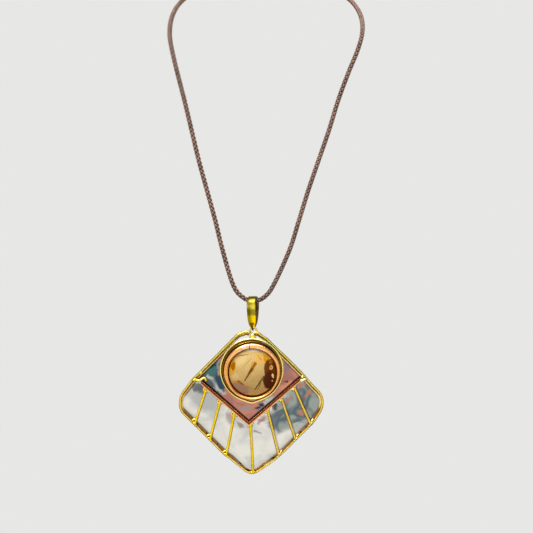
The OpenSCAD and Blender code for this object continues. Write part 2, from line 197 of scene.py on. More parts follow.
@dataclass(frozen=True)
class Field:
    """A shader value on one output socket. Arithmetic on it adds nodes to its tree."""

    tree: NodeTree
    socket: NodeSocket

    def node(self, kind: str, inputs: dict, out: int | str = 0, **settings: object) -> Field:
        """Adds a node to the tree.

        Args:
            kind: the node's type.
            inputs: its inputs by index or name, each a Field or a constant.
            out: the output that is returned.
            **settings: properties of the node.

        Returns:
            The chosen output.
        """
        made = self.tree.nodes.new(kind)
        for name, value in settings.items():
            setattr(made, name, value)
        for key, value in inputs.items():
            if isinstance(value, Field):
                self.tree.links.new(value.socket, made.inputs[key])
            elif isinstance(value, tuple) and made.inputs[key].type == "RGBA":
                made.inputs[key].default_value = (*value, 1.0)
            else:
                made.inputs[key].default_value = value
        return Field(self.tree, made.outputs[out])

    def math(self, operation: str, *others: Field | float) -> Field:
        """One maths node on this value and others."""
        return self.node("ShaderNodeMath", dict(enumerate((self, *others))), operation=operation)

    def __add__(self, other: Field | float) -> Field:
        """The sum, in either order."""
        return self.math("ADD", other)

    __radd__ = __add__

    def __sub__(self, other: Field | float) -> Field:
        """This value less another."""
        return self.math("SUBTRACT", other)

    def __rsub__(self, other: float) -> Field:
        """A number less this value."""
        return (self * -1.0) + other

    def __mul__(self, other: Field | float) -> Field:
        """The product, in either order."""
        return self.math("MULTIPLY", other)

    __rmul__ = __mul__

    def __pow__(self, other: float) -> Field:
        """A power of this value."""
        return self.math("POWER", other)

    def __abs__(self) -> Field:
        """This value without its sign."""
        return self.math("ABSOLUTE")

    def most(self, *others: Field) -> Field:
        """The largest of this value and others."""
        found = self
        for other in others:
            found = found.math("MAXIMUM", other)
        return found

    def hypot(self, other: Field) -> Field:
        """The distance that two offsets at a right angle make."""
        return (self * self + other * other).math("SQRT")

    def ramp(self, low: float, high: float) -> Field:
        """A smooth step from 0 at low to 1 at high."""
        inputs = {0: self, 1: low, 2: high, 3: 0.0, 4: 1.0}
        return self.node("ShaderNodeMapRange", inputs, interpolation_type="SMOOTHSTEP")

    def mix(self, low: Field | Colour, high: Field | Colour) -> Field:
        """A colour between two, with this value as the factor."""
        return self.node("ShaderNodeMix", {0: self, 6: low, 7: high}, 2, data_type="RGBA")

    def noise(self, scale: float, detail: float = 2.0, rough: float = 0.5, warp: float = 0.0) -> Field:
        """Noise at this place, from 0 to 1."""
        inputs = {"Vector": self, "Scale": scale, "Detail": detail, "Roughness": rough, "Distortion": warp}
        return self.node("ShaderNodeTexNoise", inputs)

    def crown(self) -> Field:
        """How far a wire faces up, or a strand lies on top, as its mesh states it."""
        return self.node("ShaderNodeAttribute", {}, "Fac", attribute_name="crown")

    def split(self) -> tuple[Field, Field, Field]:
        """The three parts of a vector."""
        first = self.node("ShaderNodeSeparateXYZ", {0: self})
        _, second, third = first.socket.node.outputs
        return first, Field(self.tree, second), Field(self.tree, third)

    def bump(self, strength: float, distance: float) -> Field:
        """A normal from this height."""
        return self.node("ShaderNodeBump", {"Strength": strength, "Distance": distance, "Height": self})

    def surface(self, inputs: dict) -> Field:
        """A principled surface shader with these inputs by name."""
        return self.node("ShaderNodeBsdfPrincipled", inputs)


@dataclass(frozen=True)
class Patch:
    """A soft oval of colour in a sketch: its middle, half sizes, turn in degrees and softness."""

    x: float
    y: float
    rx: float
    ry: float
    turn: float
    soft: float
    colour: Colour | Field
    strength: float = 1.0

    def cover(self, across: Field, up: Field) -> Field:
        """How far the oval covers the sketch: 1 inside, 0 outside."""
        c, s = math.cos(math.radians(self.turn)), math.sin(math.radians(self.turn))
        dx, dy = across - self.x, up - self.y
        a = (dx * c + dy * s) * (1 / self.rx)
        b = (dy * c - dx * s) * (1 / self.ry)
        return (a * a + b * b).ramp(1 + self.soft, max(0.0, 1 - self.soft))


@dataclass(frozen=True)
class Stroke:
    """A straight soft stroke of colour in a sketch, which tapers from its start to its end."""

    start: Point
    end: Point
    wide: float
    narrow: float
    soft: float
    colour: Colour | Field
    strength: float = 1.0

    def cover(self, across: Field, up: Field) -> Field:
        """How far the stroke covers the sketch: 1 inside, 0 outside."""
        way = Vector(self.end) - Vector(self.start)
        long = way.length
        way.normalize()
        dx, dy = across - self.start[0], up - self.start[1]
        along = (dx * way.x + dy * way.y) * (1 / long)
        aside = abs(dy * way.x - dx * way.y)
        width = along * (self.narrow - self.wide) + self.wide
        edge = (aside - width).ramp(self.soft, -self.soft)
        return edge * along.ramp(-0.04, 0.04) * along.ramp(1.04, 0.96)


@dataclass(frozen=True)
class Sketch:
    """A flat drawing place for patches and strokes, in millimetres."""

    across: Field
    up: Field

    def paint(self, base: Field, marks: Sequence[Patch | Stroke]) -> Field:
        """Lays marks on a base colour, each over the ones before."""
        for mark in marks:
            cover = mark.cover(self.across, self.up)
            if mark.strength < 1:
                cover = cover * mark.strength
            base = cover.mix(base, mark.colour)
        return base


class Finish:
    """A material that is made once and shared."""

    name: str
    _made: dict[str, Material] = {}

    def material(self) -> Material:
        """The Blender material, made on first use."""
        if self.name not in self._made:
            made = bpy.data.materials.new(self.name)
            made.use_nodes = True
            tree = made.node_tree
            tree.nodes.clear()
            place = tree.nodes.new("ShaderNodeTexCoord").outputs["Object"]
            shader = self.shade(Field(tree, place))
            output = tree.nodes.new("ShaderNodeOutputMaterial")
            tree.links.new(shader.socket, output.inputs["Surface"])
            self._made[self.name] = made
        return self._made[self.name]

    def shade(self, place: Field) -> Field:
        """The surface shader at a place in metres."""
        raise NotImplementedError

    @staticmethod
    def flat(place: Field, centre: Point = (0.0, 0.0), lean: float = 0.0) -> tuple[Field, Field]:
        """Millimetres across and up from a centre, on a surface that sinks as it comes forward."""
        x, y, z = place.split()
        across = (x - MIDDLE[0] * MM) * (1 / MM) - centre[0]
        up = (z - MIDDLE[2] * MM) * (1 / MM) - centre[1]
        forward = (y - MIDDLE[1] * MM) * (-1 / MM) - SEAT
        return across, up + forward * lean

    @staticmethod
    def reach(across: Field, up: Field) -> Field:
        """The distance out towards the nearest side of the frame, less that side's bow."""
        sides = []
        for bow in BOWS:
            out = bow.out()
            along = across * out.y - up * out.x
            swell = along.ramp(*bow.rise) * along.ramp(*reversed(bow.fall)) * bow.size
            sides.append(across * out.x + up * out.y - swell)
        return sides[0].most(*sides[1:])


@dataclass(frozen=True)
class Metal(Finish):
    """A polished metal with wear: tarnish in soft clouds, fine scratches and a slightly uneven surface."""

    name: str
    bright: Colour
    deep: Colour
    tarnish: float = 0.5
    polish: float = 0.2
    uneven: float = 0.25

    def paint(self, place: Field) -> Field:
        """The metal's colour at a place."""
        clouds = place.noise(170.0, 3.0, 0.6, 0.4)
        return (clouds.ramp(0.45, 0.75) * self.tarnish).mix(self.bright, self.deep)

    def shade(self, place: Field) -> Field:
        """The metal with its scratches and its uneven surface."""
        specks = place.noise(900.0, 2.0, 0.6)
        height = place.noise(380.0, 2.0, 0.5) * 0.8 + specks * 0.2
        return place.surface(
            {
                "Base Color": self.paint(place),
                "Metallic": 1.0,
                "Roughness": specks * 0.12 + self.polish,
                "Normal": height.bump(self.uneven, 0.0004),
            }
        )


@dataclass(frozen=True)
class CrownLitWire(Metal):
    """Brass wire painted bright on its crown as a highlight, with painted glints, and darker on its flanks
    as painted shade.
    """

    other: Colour = tint(226, 212, 92)
    towards: Point = (0.0, 1.0)
    glint: float = 0.5

    def paint(self, place: Field) -> Field:
        """Painted highlight on the crown, turning to the other colour in one direction, with painted
        glints; painted shade on the flanks.
        """
        across, up = self.flat(place)
        clouds = place.noise(240.0, 3.0, 0.6, 0.4) - 0.5
        far = across * self.towards[0] + up * self.towards[1]
        # The crown's painted highlight, turning to the other colour in one direction.
        bright_tone = (far + clouds * 8.0).ramp(3.0, 12.0).mix(self.bright, self.other)
        glints = place.noise(360.0, 1.0, 0.5).ramp(0.56, 0.66) * self.glint
        bright_tone = glints.mix(bright_tone, tint(255, 240, 168))
        # The flanks take the deep colour as painted shade, and the crown takes the highlight.
        return (place.crown() + clouds * 0.6).ramp(0.0, 0.62).mix(self.deep, bright_tone)


@dataclass(frozen=True)
class InnerWire(Metal):
    """Brass with painted light: pale on its inner side and paler to the right, as a highlight, and darker
    outside, below and under the arches, as shade.
    """

    middle: float = 25.14

    def paint(self, place: Field) -> Field:
        """Painted highlight inside and to the right; painted shade outside, below and under the arches; and
        dark spots, strongest along the lower sides.
        """
        across, up = self.flat(place)
        clouds = place.noise(240.0, 3.0, 0.6, 0.4) - 0.5
        # Painted shade along the lower sides, and on the outer half next to the outer wire.
        lower = (up + abs(across) * 0.3 + clouds * 6.0).ramp(8.0, 5.0)
        outside = (self.reach(across, up) + clouds * 0.3).ramp(self.middle - 0.1, self.middle + 0.15)
        # Painted highlight, paler to the right.
        pale = across.ramp(2.0, 8.0).mix(self.bright, tint(250, 230, 150))
        base = lower.most(outside).mix(pale, self.deep)
        # Painted shade under the arches.
        base = up.ramp(28.0, 30.0).mix(base, tint(118, 82, 30))
        dark_spots = place.noise(430.0, 2.0, 0.6).ramp(0.54, 0.62) * (lower * 0.75 + 0.15)
        return dark_spots.mix(base, tint(40, 22, 6))


@dataclass(frozen=True)
class HalfShadedRing(Metal):
    """A ring painted pale outside, as a highlight, and golden brown inside, as shade where it faces the
    cup.
    """

    turn_over: float = 14.5

    def paint(self, place: Field) -> Field:
        """One colour on each side of the ring's middle: painted highlight outside, painted shade inside."""
        across, up = self.flat(place, CUP)
        outside = across.hypot(up).ramp(self.turn_over - 0.25, self.turn_over + 0.1)
        return outside.mix(self.deep, self.bright)


@dataclass(frozen=True)
class CupCopper(Metal):
    """Copper with a bright rim with painted glints, a closed seam at the top, and painted shade on the
    flanks and on the wall inside.
    """

    centre: Point = (0.2, 14.79)
    rim: Point = (13.17, 13.27)
    flank: Point = (13.45, 13.75)
    hole: Point = (11.55, 11.25)
    hole_centre: Point = (0.2, -0.4)

    def paint(self, place: Field) -> Field:
        """The rim with its painted glints and its seam, the flank outside it in painted shade, and the wall
        inside in painted shade.
        """
        across, up = self.flat(place, self.centre, LEAN)
        clouds = place.noise(190.0, 3.0, 0.6, 0.5)
        base = (clouds.ramp(0.4, 0.7) * self.tarnish).mix(self.bright, self.deep)
        # Painted glints near the top of the rim.
        top_glints = place.noise(520.0, 3.0, 0.7).ramp(0.48, 0.62) * up.ramp(5.0, 10.0) * 0.6
        base = top_glints.mix(base, tint(255, 228, 206))
        seam = abs(across + 1.2).ramp(0.36, 0.12) * up.ramp(8.0, 9.0)
        base = (seam * 0.9).mix(base, tint(110, 56, 26))
        around = across.hypot(up)
        # Painted shade on the flank outside the rim: dark, turning golden brown at its foot.
        flank = around.ramp(*self.flank).mix(tint(40, 18, 5), tint(166, 114, 28))
        base = around.ramp(*self.rim).mix(base, flank)
        # Painted shade on the wall inside the opening.
        hole = (across - self.hole_centre[0]).hypot(up - self.hole_centre[1])
        return hole.ramp(*self.hole).mix(base, tint(44, 20, 8))


@dataclass(frozen=True)
class StripCopper(Metal):
    """A copper strip with painted highlights along its edges and a brown middle."""

    def paint(self, place: Field) -> Field:
        """Painted highlight along the lower edge, and a little along the upper one."""
        across, up = self.flat(place, TIP)
        aside = (up - abs(across) * math.tan(ARM)) * math.cos(ARM)
        paleness = place.noise(300.0, 2.0, 0.5) * 0.24
        # Painted highlights on the edges, broken up by noise.
        lower = (paleness - aside).ramp(0.28, 0.44)
        upper = (paleness + aside).ramp(0.62, 0.74) * 0.2
        return lower.most(upper).mix(self.deep, self.bright)


@dataclass(frozen=True)
class BrushedBail(Metal):
    """Brass brushed along the band, with painted reflections that change with height, among them a dark
    olive band across its middle.
    """

    eye: Point = (-0.0069, -0.1367)

    def paint(self, place: Field) -> Field:
        """Brushed streaks, painted reflections by height, and painted shade at the foot: a brown spot and a
        dark line.
        """
        x, _, z = place.split()
        high = (z - self.eye[1]) * (1 / MM)
        drawn = place.node("ShaderNodeMapping", {"Vector": place, "Scale": (1.0, 1.0, 0.1)})
        streaks = drawn.noise(1500.0, 2.0, 0.6)
        wavy = high + (streaks - 0.5) * 2.2
        base = streaks.ramp(0.35, 0.7).mix(self.bright, tint(218, 204, 86))
        # Painted reflections: saturated yellow low down and darker olive at the top.
        base = wavy.ramp(8.2, 6.8).mix(base, tint(246, 205, 4))
        base = wavy.ramp(12.2, 14.0).mix(base, tint(138, 122, 40))
        # Painted reflection: a dark olive band across the middle.
        dark_reflection = wavy.ramp(6.9, 8.2) * wavy.ramp(11.6, 10.0)
        base = (dark_reflection * 0.72).mix(base, self.deep)
        # Painted shade at the foot, where the band curves into the eye.
        marks = (
            Patch(0.1, 3.5, 1.1, 0.8, 0, 0.6, tint(150, 92, 10)),
            Stroke((0.1, 2.9), (0.1, 0.6), 0.35, 0.5, 0.15, tint(40, 26, 6)),
        )
        return Sketch((x - self.eye[0]) * (1 / MM), high).paint(base, marks)


@dataclass(frozen=True)
class NickelPlate(Finish):
    """Polished nickel silver with painted reflections: pale below the chevron, rose and slate above it."""

    name: str = "nickel_silver_plate"

    def shade(self, place: Field) -> Field:
        """The painted reflections; painted shade towards the frame, beside three rays, along the chevron's
        upper side, along the plate's edge and round the cup; and soft waves.
        """
        wander = place.noise(130.0, 3.0, 0.6, 1.6) - 0.5
        drift = place.noise(115.0, 3.0, 0.6, 1.6) - 0.5
        across, up = self.flat(place)
        ink = Sketch(across + wander * 6.0, up + drift * 6.0)
        reach = self.reach(across, up)
        # Painted shade: the cells darken a little towards the frame.
        hem = (reach.ramp(21.5, 24.5) * 0.3).mix(self.below(place, ink), tint(150, 140, 112))
        lower = self.beside_rays(Sketch(across, up), hem)
        above = up - abs(across - TIP[0]) * math.tan(ARM) - TIP[1]
        colour = above.ramp(-0.4, 0.4).mix(lower, self.over(place, ink))
        # Painted shade: a dark band along the chevron's upper side, and a dark line along the plate's edge,
        # weaker to the right.
        beside = abs(above - 1.45).ramp(0.85, 0.3) * 0.92
        edge = reach.ramp(23.85, 24.45) * (0.75 - across.ramp(2.0, 8.0) * 0.35)
        colour = beside.most(edge).mix(colour, tint(28, 14, 6))
        # Painted shade round the cup, in the gap under the halo ring.
        hoop = (across - CUP[0]).hypot(up - CUP[1])
        colour = hoop.ramp(14.6, 14.3).mix(colour, tint(120, 80, 20))
        waves = place.noise(150.0, 2.0, 0.5, 0.6)
        return place.surface(
            {
                "Base Color": colour,
                "Metallic": 1.0,
                "Roughness": place.noise(900.0, 2.0, 0.5) * 0.08 + 0.14,
                "Normal": waves.bump(0.3, 0.0012),
            }
        )

    @staticmethod
    def below(place: Field, ink: Sketch) -> Field:
        """Painted reflections in the cells below the chevron: pale, with slate swirls to the right."""
        clouds = place.noise(75.0, 2.0, 0.5, 0.8)
        pale = clouds.ramp(0.45, 0.75).mix(tint(219, 216, 207), tint(186, 187, 182))
        swirl_bands = (place.noise(80.0, 1.0, 0.45, 1.8) * 13.0).math("SINE") * 0.5 + 0.5
        swirl = swirl_bands.mix(tint(88, 100, 104), tint(146, 154, 147))
        rose = tint(172, 122, 104)
        marks = (
            Patch(-22, 1, 9, 6, -40, 0.8, tint(172, 174, 170)),
            Patch(-25, 6.6, 4.0, 2.4, -20, 0.6, tint(100, 102, 103)),
            Patch(-10.8, -7.2, 1.3, 2.4, 12, 1.0, tint(170, 154, 148)),
            Patch(-6.0, -10.4, 2.4, 1.1, -36, 1.0, tint(152, 136, 130)),
            Patch(23.0, -11.5, 4.5, 3.0, 44, 0.8, tint(176, 178, 176)),
            Patch(16.2, -6.2, 10.0, 6.6, 44, 0.5, swirl),
            Patch(25.5, 0.0, 9.5, 9.5, 0, 0.5, swirl),
            Patch(11.2, -2.4, 1.8, 1.1, 40, 0.9, tint(80, 70, 74)),
            Patch(9.8, -9.0, 1.4, 4.0, 5, 0.9, tint(100, 111, 117)),
            Patch(4.9, -8.6, 2.4, 1.2, 38, 0.9, tint(162, 130, 120)),
            Patch(17.6, 0.2, 3.0, 1.1, 42, 0.9, tint(164, 126, 112)),
            Patch(23.8, 7.6, 3.2, 1.1, 40, 0.9, rose),
            Patch(27.0, 3.6, 3.0, 0.8, 42, 0.9, tint(176, 118, 92)),
            Patch(23.6, -5.0, 1.0, 2.0, 25, 0.9, rose),
            Patch(21.8, -9.4, 2.8, 1.3, 10, 0.8, tint(96, 108, 106)),
            Patch(23.2, 4.8, 2.2, 0.9, 10, 0.9, tint(104, 114, 119)),
        )
        return ink.paint(pale, marks)

    @staticmethod
    def beside_rays(plain: Sketch, base: Field) -> Field:
        """Painted shadows at the right of three rays, as dark lines, and a grey mark beside the middle one.
        """
        shadow = tint(62, 54, 58)
        marks = (
            Stroke((20.6, 7.6), (28.3, -9.6), 0.2, 0.2, 0.22, shadow, 0.75),
            Stroke((14.6, 2.5), (21.2, -16.4), 0.2, 0.2, 0.22, shadow, 0.55),
            Stroke((8.2, -3.2), (13.5, -24.2), 0.2, 0.2, 0.22, shadow, 0.35),
            Stroke((0.9, -13.8), (4.7, -15.1), 0.45, 0.2, 0.5, tint(128, 130, 127)),
        )
        return plain.paint(base, marks)

    @staticmethod
    def over(place: Field, ink: Sketch) -> Field:
        """Painted reflections in the field above the chevron: rose, with slate, teal and silver streaks."""
        clouds = place.noise(140.0, 2.5, 0.55, 1.2)
        rose = clouds.ramp(0.35, 0.65).mix(tint(186, 127, 106), tint(158, 106, 97))
        silver = tint(176, 178, 173)
        marks = (
            Patch(-19, 10, 9.5, 7, 50, 0.4, tint(80, 85, 88)),
            Patch(-15.2, 9.0, 1.9, 4.6, 16, 0.7, tint(48, 72, 88)),
            Patch(-18.6, 16.0, 4.2, 2.9, 45, 0.7, tint(66, 108, 109)),
            Patch(-18.0, 16.8, 1.5, 0.9, 30, 0.9, tint(30, 64, 76)),
            Patch(-15.5, 16.4, 0.8, 3.6, 0, 0.9, tint(142, 130, 130)),
            Patch(-16.0, 13.2, 0.7, 0.7, 0, 0.9, tint(186, 132, 108)),
            Stroke((-21.6, 12.6), (-18.4, 10.2), 0.9, 1.2, 0.9, silver),
            Stroke((-18.7, 10.6), (-16.9, 6.6), 1.1, 0.8, 0.9, tint(146, 147, 145)),
            Stroke((-17.2, 7.0), (-14.9, 4.8), 0.9, 1.1, 0.9, silver),
            Stroke((-15.3, 4.9), (-12.0, 3.8), 1.0, 0.3, 0.9, silver),
            Patch(-3.2, -3.1, 3.6, 1.0, -4, 0.9, tint(146, 136, 134)),
            Patch(5.4, -3.4, 3.0, 3.0, 40, 0.7, tint(138, 120, 120)),
            Patch(2.9, -3.6, 1.1, 0.6, 10, 0.9, tint(60, 50, 57)),
            Patch(4.9, -2.0, 1.7, 0.9, 20, 0.9, tint(56, 53, 58)),
            Stroke((6.4, -0.6), (14.4, 2.7), 1.2, 0.8, 0.9, silver),
            Patch(16.4, 17.0, 1.9, 3.4, -10, 0.9, tint(136, 112, 113)),
            Patch(16.6, 7.4, 3.0, 1.2, 38, 0.9, tint(204, 136, 104)),
            Patch(16.5, 9.4, 1.0, 0.5, -20, 0.9, tint(104, 58, 50)),
        )
        return ink.paint(rose, marks)


# The stone's pale band and honey-coloured patches, then its dark brown zone with cream spots.
STONE_PATCHES = (
    Patch(0.8, 10.0, 5.5, 1.0, 0, 0.7, tint(214, 198, 172)),
    Patch(-4.8, 4.6, 3.4, 1.5, 40, 1.0, tint(216, 192, 142), 0.4),
    Patch(-7.4, -3.0, 2.2, 1.7, 20, 1.0, tint(214, 188, 138), 0.4),
    Patch(4.8, 5.6, 3.4, 2.4, 10, 0.7, tint(206, 160, 78)),
    Patch(7.2, 5.2, 1.1, 2.1, 10, 0.35, tint(206, 138, 6)),
    Patch(-8.9, 1.8, 1.5, 3.8, -4, 0.3, tint(198, 146, 38)),
    Patch(-8.7, 1.9, 0.9, 2.0, -10, 0.4, tint(148, 88, 2)),
    Patch(-9.4, 4.2, 0.5, 0.8, 0, 0.5, tint(216, 176, 96)),
    Patch(-5.4, -8.4, 4.6, 2.3, -24, 0.4, tint(150, 114, 88)),
    Patch(9.0, 0.4, 3.1, 4.9, 6, 0.2, tint(94, 48, 2)),
    Patch(8.4, -4.6, 3.0, 4.3, -4, 0.2, tint(72, 31, 6)),
    Patch(9.2, 4.2, 1.0, 1.2, 0, 0.4, tint(138, 84, 22)),
    Patch(9.3, 1.3, 0.9, 1.1, 0, 0.3, tint(206, 160, 92)),
    Patch(9.2, 1.5, 0.45, 0.5, 0, 0.4, tint(160, 100, 30)),
    Patch(9.9, -2.5, 0.4, 1.1, 6, 0.3, tint(222, 194, 128)),
    Patch(9.6, -5.0, 0.3, 0.6, 0, 0.3, tint(196, 150, 100)),
)
# The stone's needle, in two parts, and its fine brown lines.
STONE_LINES = (
    Stroke((2.1, 4.0), (-1.2, -1.2), 0.78, 0.62, 0.15, tint(142, 90, 2)),
    Stroke((0.4, 1.3), (-3.4, -4.9), 0.68, 0.2, 0.15, tint(108, 64, 2)),
    Stroke((2.6, 7.4), (4.6, 5.0), 0.1, 0.24, 0.15, tint(172, 120, 48)),
    Stroke((5.8, 7.4), (6.3, 4.2), 0.25, 0.4, 0.2, tint(184, 124, 16)),
    Stroke((-0.3, 5.8), (-4.0, 1.6), 0.16, 0.06, 0.12, tint(168, 128, 68)),
    Stroke((0.7, 4.4), (-0.8, 1.4), 0.2, 0.08, 0.12, tint(172, 132, 72)),
    Stroke((-8.7, 5.8), (-5.2, 7.0), 0.08, 0.2, 0.12, tint(150, 104, 40)),
    Stroke((-5.4, 6.9), (-1.0, 7.7), 0.28, 0.08, 0.12, tint(146, 96, 26)),
    Stroke((-8.6, -5.4), (-5.2, -4.8), 0.4, 0.55, 0.25, tint(186, 130, 46)),
    Stroke((-6.6, -4.9), (-3.6, -6.6), 0.55, 0.5, 0.2, tint(144, 86, 8)),
    Stroke((-3.8, -6.5), (-0.2, -8.6), 0.4, 0.25, 0.25, tint(160, 118, 74)),
    Stroke((5.9, -2.4), (1.5, -9.0), 0.4, 0.28, 0.2, tint(98, 66, 18)),
    Stroke((4.4, -5.6), (2.8, -9.0), 0.22, 0.14, 0.15, tint(110, 78, 28)),
)


@dataclass(frozen=True)
class Cabochon(Finish):
    """A glossy cream stone with a brown needle and honey patches, painted dark round its edge as shade
    where it meets the cup.
    """

    name: str = "cabochon_stone"

    def shade(self, place: Field) -> Field:
        """Growth lines, then patches, then drawn lines, then painted shade round the edge, under a thin
        gloss.
        """
        across, up = self.flat(place, CUP, LEAN)
        wander = place.noise(420.0, 3.0, 0.6, 0.3) - 0.5
        drift = place.noise(390.0, 3.0, 0.6, 0.3) - 0.5
        clouds = place.noise(330.0, 4.0, 0.6, 0.5)
        base = up.ramp(-8.0, 6.0).mix(tint(174, 138, 76), tint(198, 167, 104))
        base = (clouds.ramp(0.4, 0.7) * 0.5).mix(base, tint(198, 168, 112))
        grain = (across * 0.86 + up * 0.5 + wander * 2.2) * 6.5
        growth = (grain.math("SINE") * 0.5 + 0.5) ** 5.0 * 0.34
        base = growth.mix(base, tint(150, 112, 56))
        base = Sketch(across + wander * 1.7, up + drift * 1.7 - 0.4).paint(base, STONE_PATCHES)
        base = Sketch(across + wander * 0.6, up + drift * 0.6 - 0.4).paint(base, STONE_LINES)
        # Painted shade round the stone's edge, where the cup's wall meets it.
        around = (across - 0.4).hypot(up + 0.6)
        return place.surface(
            {
                "Base Color": around.ramp(10.85, 11.05).mix(base, tint(22, 12, 8)),
                "Roughness": clouds * 0.1 + 0.2,
                "Specular IOR Level": 0.06,
                "Coat Weight": 0.05,
                "Coat Roughness": 0.05,
                "Normal": clouds.bump(0.05, 0.0004),
            }
        )


@dataclass(frozen=True)
class Waxed(Finish):
    """Waxed brown braid, paler where its fibres wear, and painted paler where a strand lies on top of the
    weave, as a highlight.
    """

    name: str
    dark: Colour
    bright_tone: Colour

    def shade(self, place: Field) -> Field:
        """Fine fibres and wear, and a painted highlight where a strand lies on top."""
        fibres = place.noise(2600.0, 3.0, 0.7)
        wear = place.noise(210.0, 2.0, 0.5)
        # Painted highlight: strands that lie on top of the weave are paler.
        over = place.crown().ramp(0.0, 1.0)
        paleness = fibres.ramp(0.3, 0.7) * 0.2 + wear.ramp(0.3, 0.7) * 0.25 + over * 0.5
        return place.surface(
            {
                "Base Color": paleness.mix(self.dark, self.bright_tone),
                "Roughness": fibres * 0.2 + 0.3,
                "Specular IOR Level": 0.5,
                "Normal": fibres.bump(0.25, 0.0002),
            }
        )


@dataclass(frozen=True)
class Matte(Finish):
    """A dull dark pad."""

    name: str
    colour: Colour

    def shade(self, place: Field) -> Field:
        """A fine grain that is half as bright in places."""
        grain = place.noise(1500.0, 3.0, 0.6)
        return place.surface(
            {
                "Base Color": grain.mix(self.colour, tuple(0.5 * c for c in self.colour)),
                "Roughness": grain * 0.2 + 0.7,
                "Normal": grain.bump(0.3, 0.0003),
            }
        )


BRASS = Metal("bright_brass", tint(248, 210, 58), tint(214, 158, 20), 0.5, 0.17, 0.15)
DULL_BRASS = Metal("dull_brass", tint(196, 152, 60), tint(124, 78, 20), 0.7, 0.26, 0.25)
PALE_BRASS = Metal("pale_brass", tint(244, 224, 130), tint(196, 156, 52), 0.5, 0.2, 0.2)
# A darker brass, as painted shade, for the faces inside the bail's loop.
BAIL_SHADED_INSIDE = Metal("bail_inside_shaded", tint(142, 112, 66), tint(84, 66, 40), 0.7, 0.34, 0.15)
NICKEL = Metal("nickel_silver_back", tint(206, 203, 194), tint(160, 158, 152), 0.6, 0.26, 0.2)
STEEL = Metal("spring_steel", (0.55, 0.55, 0.56), (0.3, 0.3, 0.3), 0.4, 0.3, 0.2)
WIRE_BRASS = CrownLitWire(
    "wire_brass", tint(232, 194, 80), tint(126, 88, 20), 0.5, 0.2, 0.12, tint(218, 200, 86)
)
RAY_BRASS = CrownLitWire(
    "ray_brass", tint(250, 212, 26), tint(176, 122, 8), 0.5, 0.22, 0.1, tint(238, 200, 76), (1.0, 0.0), 0.2
)
SOLDER = CrownLitWire(
    "solder_brass", tint(250, 220, 84), tint(140, 98, 14), 0.5, 0.2, 0.15, tint(250, 234, 150), (1.0, 0.0)
)
INNER_BRASS = InnerWire("inner_brass", tint(212, 182, 104), tint(160, 112, 38), 0.5, 0.22, 0.25)
HALO_BRASS = HalfShadedRing("halo_brass", tint(238, 230, 140), tint(150, 96, 14), 0.4, 0.2, 0.15)
BAIL_BRASS = BrushedBail("bail_brass", tint(240, 206, 40), tint(92, 88, 14), 0.4, 0.24, 0.1)
COPPER = CupCopper("copper_bezel", tint(250, 182, 106), tint(236, 144, 62), 0.6, 0.2, 0.15)
STRIP = StripCopper("copper_strip", tint(234, 180, 130), tint(122, 52, 8), 0.6, 0.24, 0.15)
PLATE = NickelPlate()
STONE = Cabochon()
BRAID = Waxed("waxed_braid", tint(14, 9, 8), tint(164, 124, 102))
# The braid's core is painted nearly black, as shade deep inside the braid.
CORE = Waxed("braid_core", tint(16, 9, 8), tint(28, 17, 15))
PAD = Matte("backing_pad", (0.05, 0.045, 0.04))


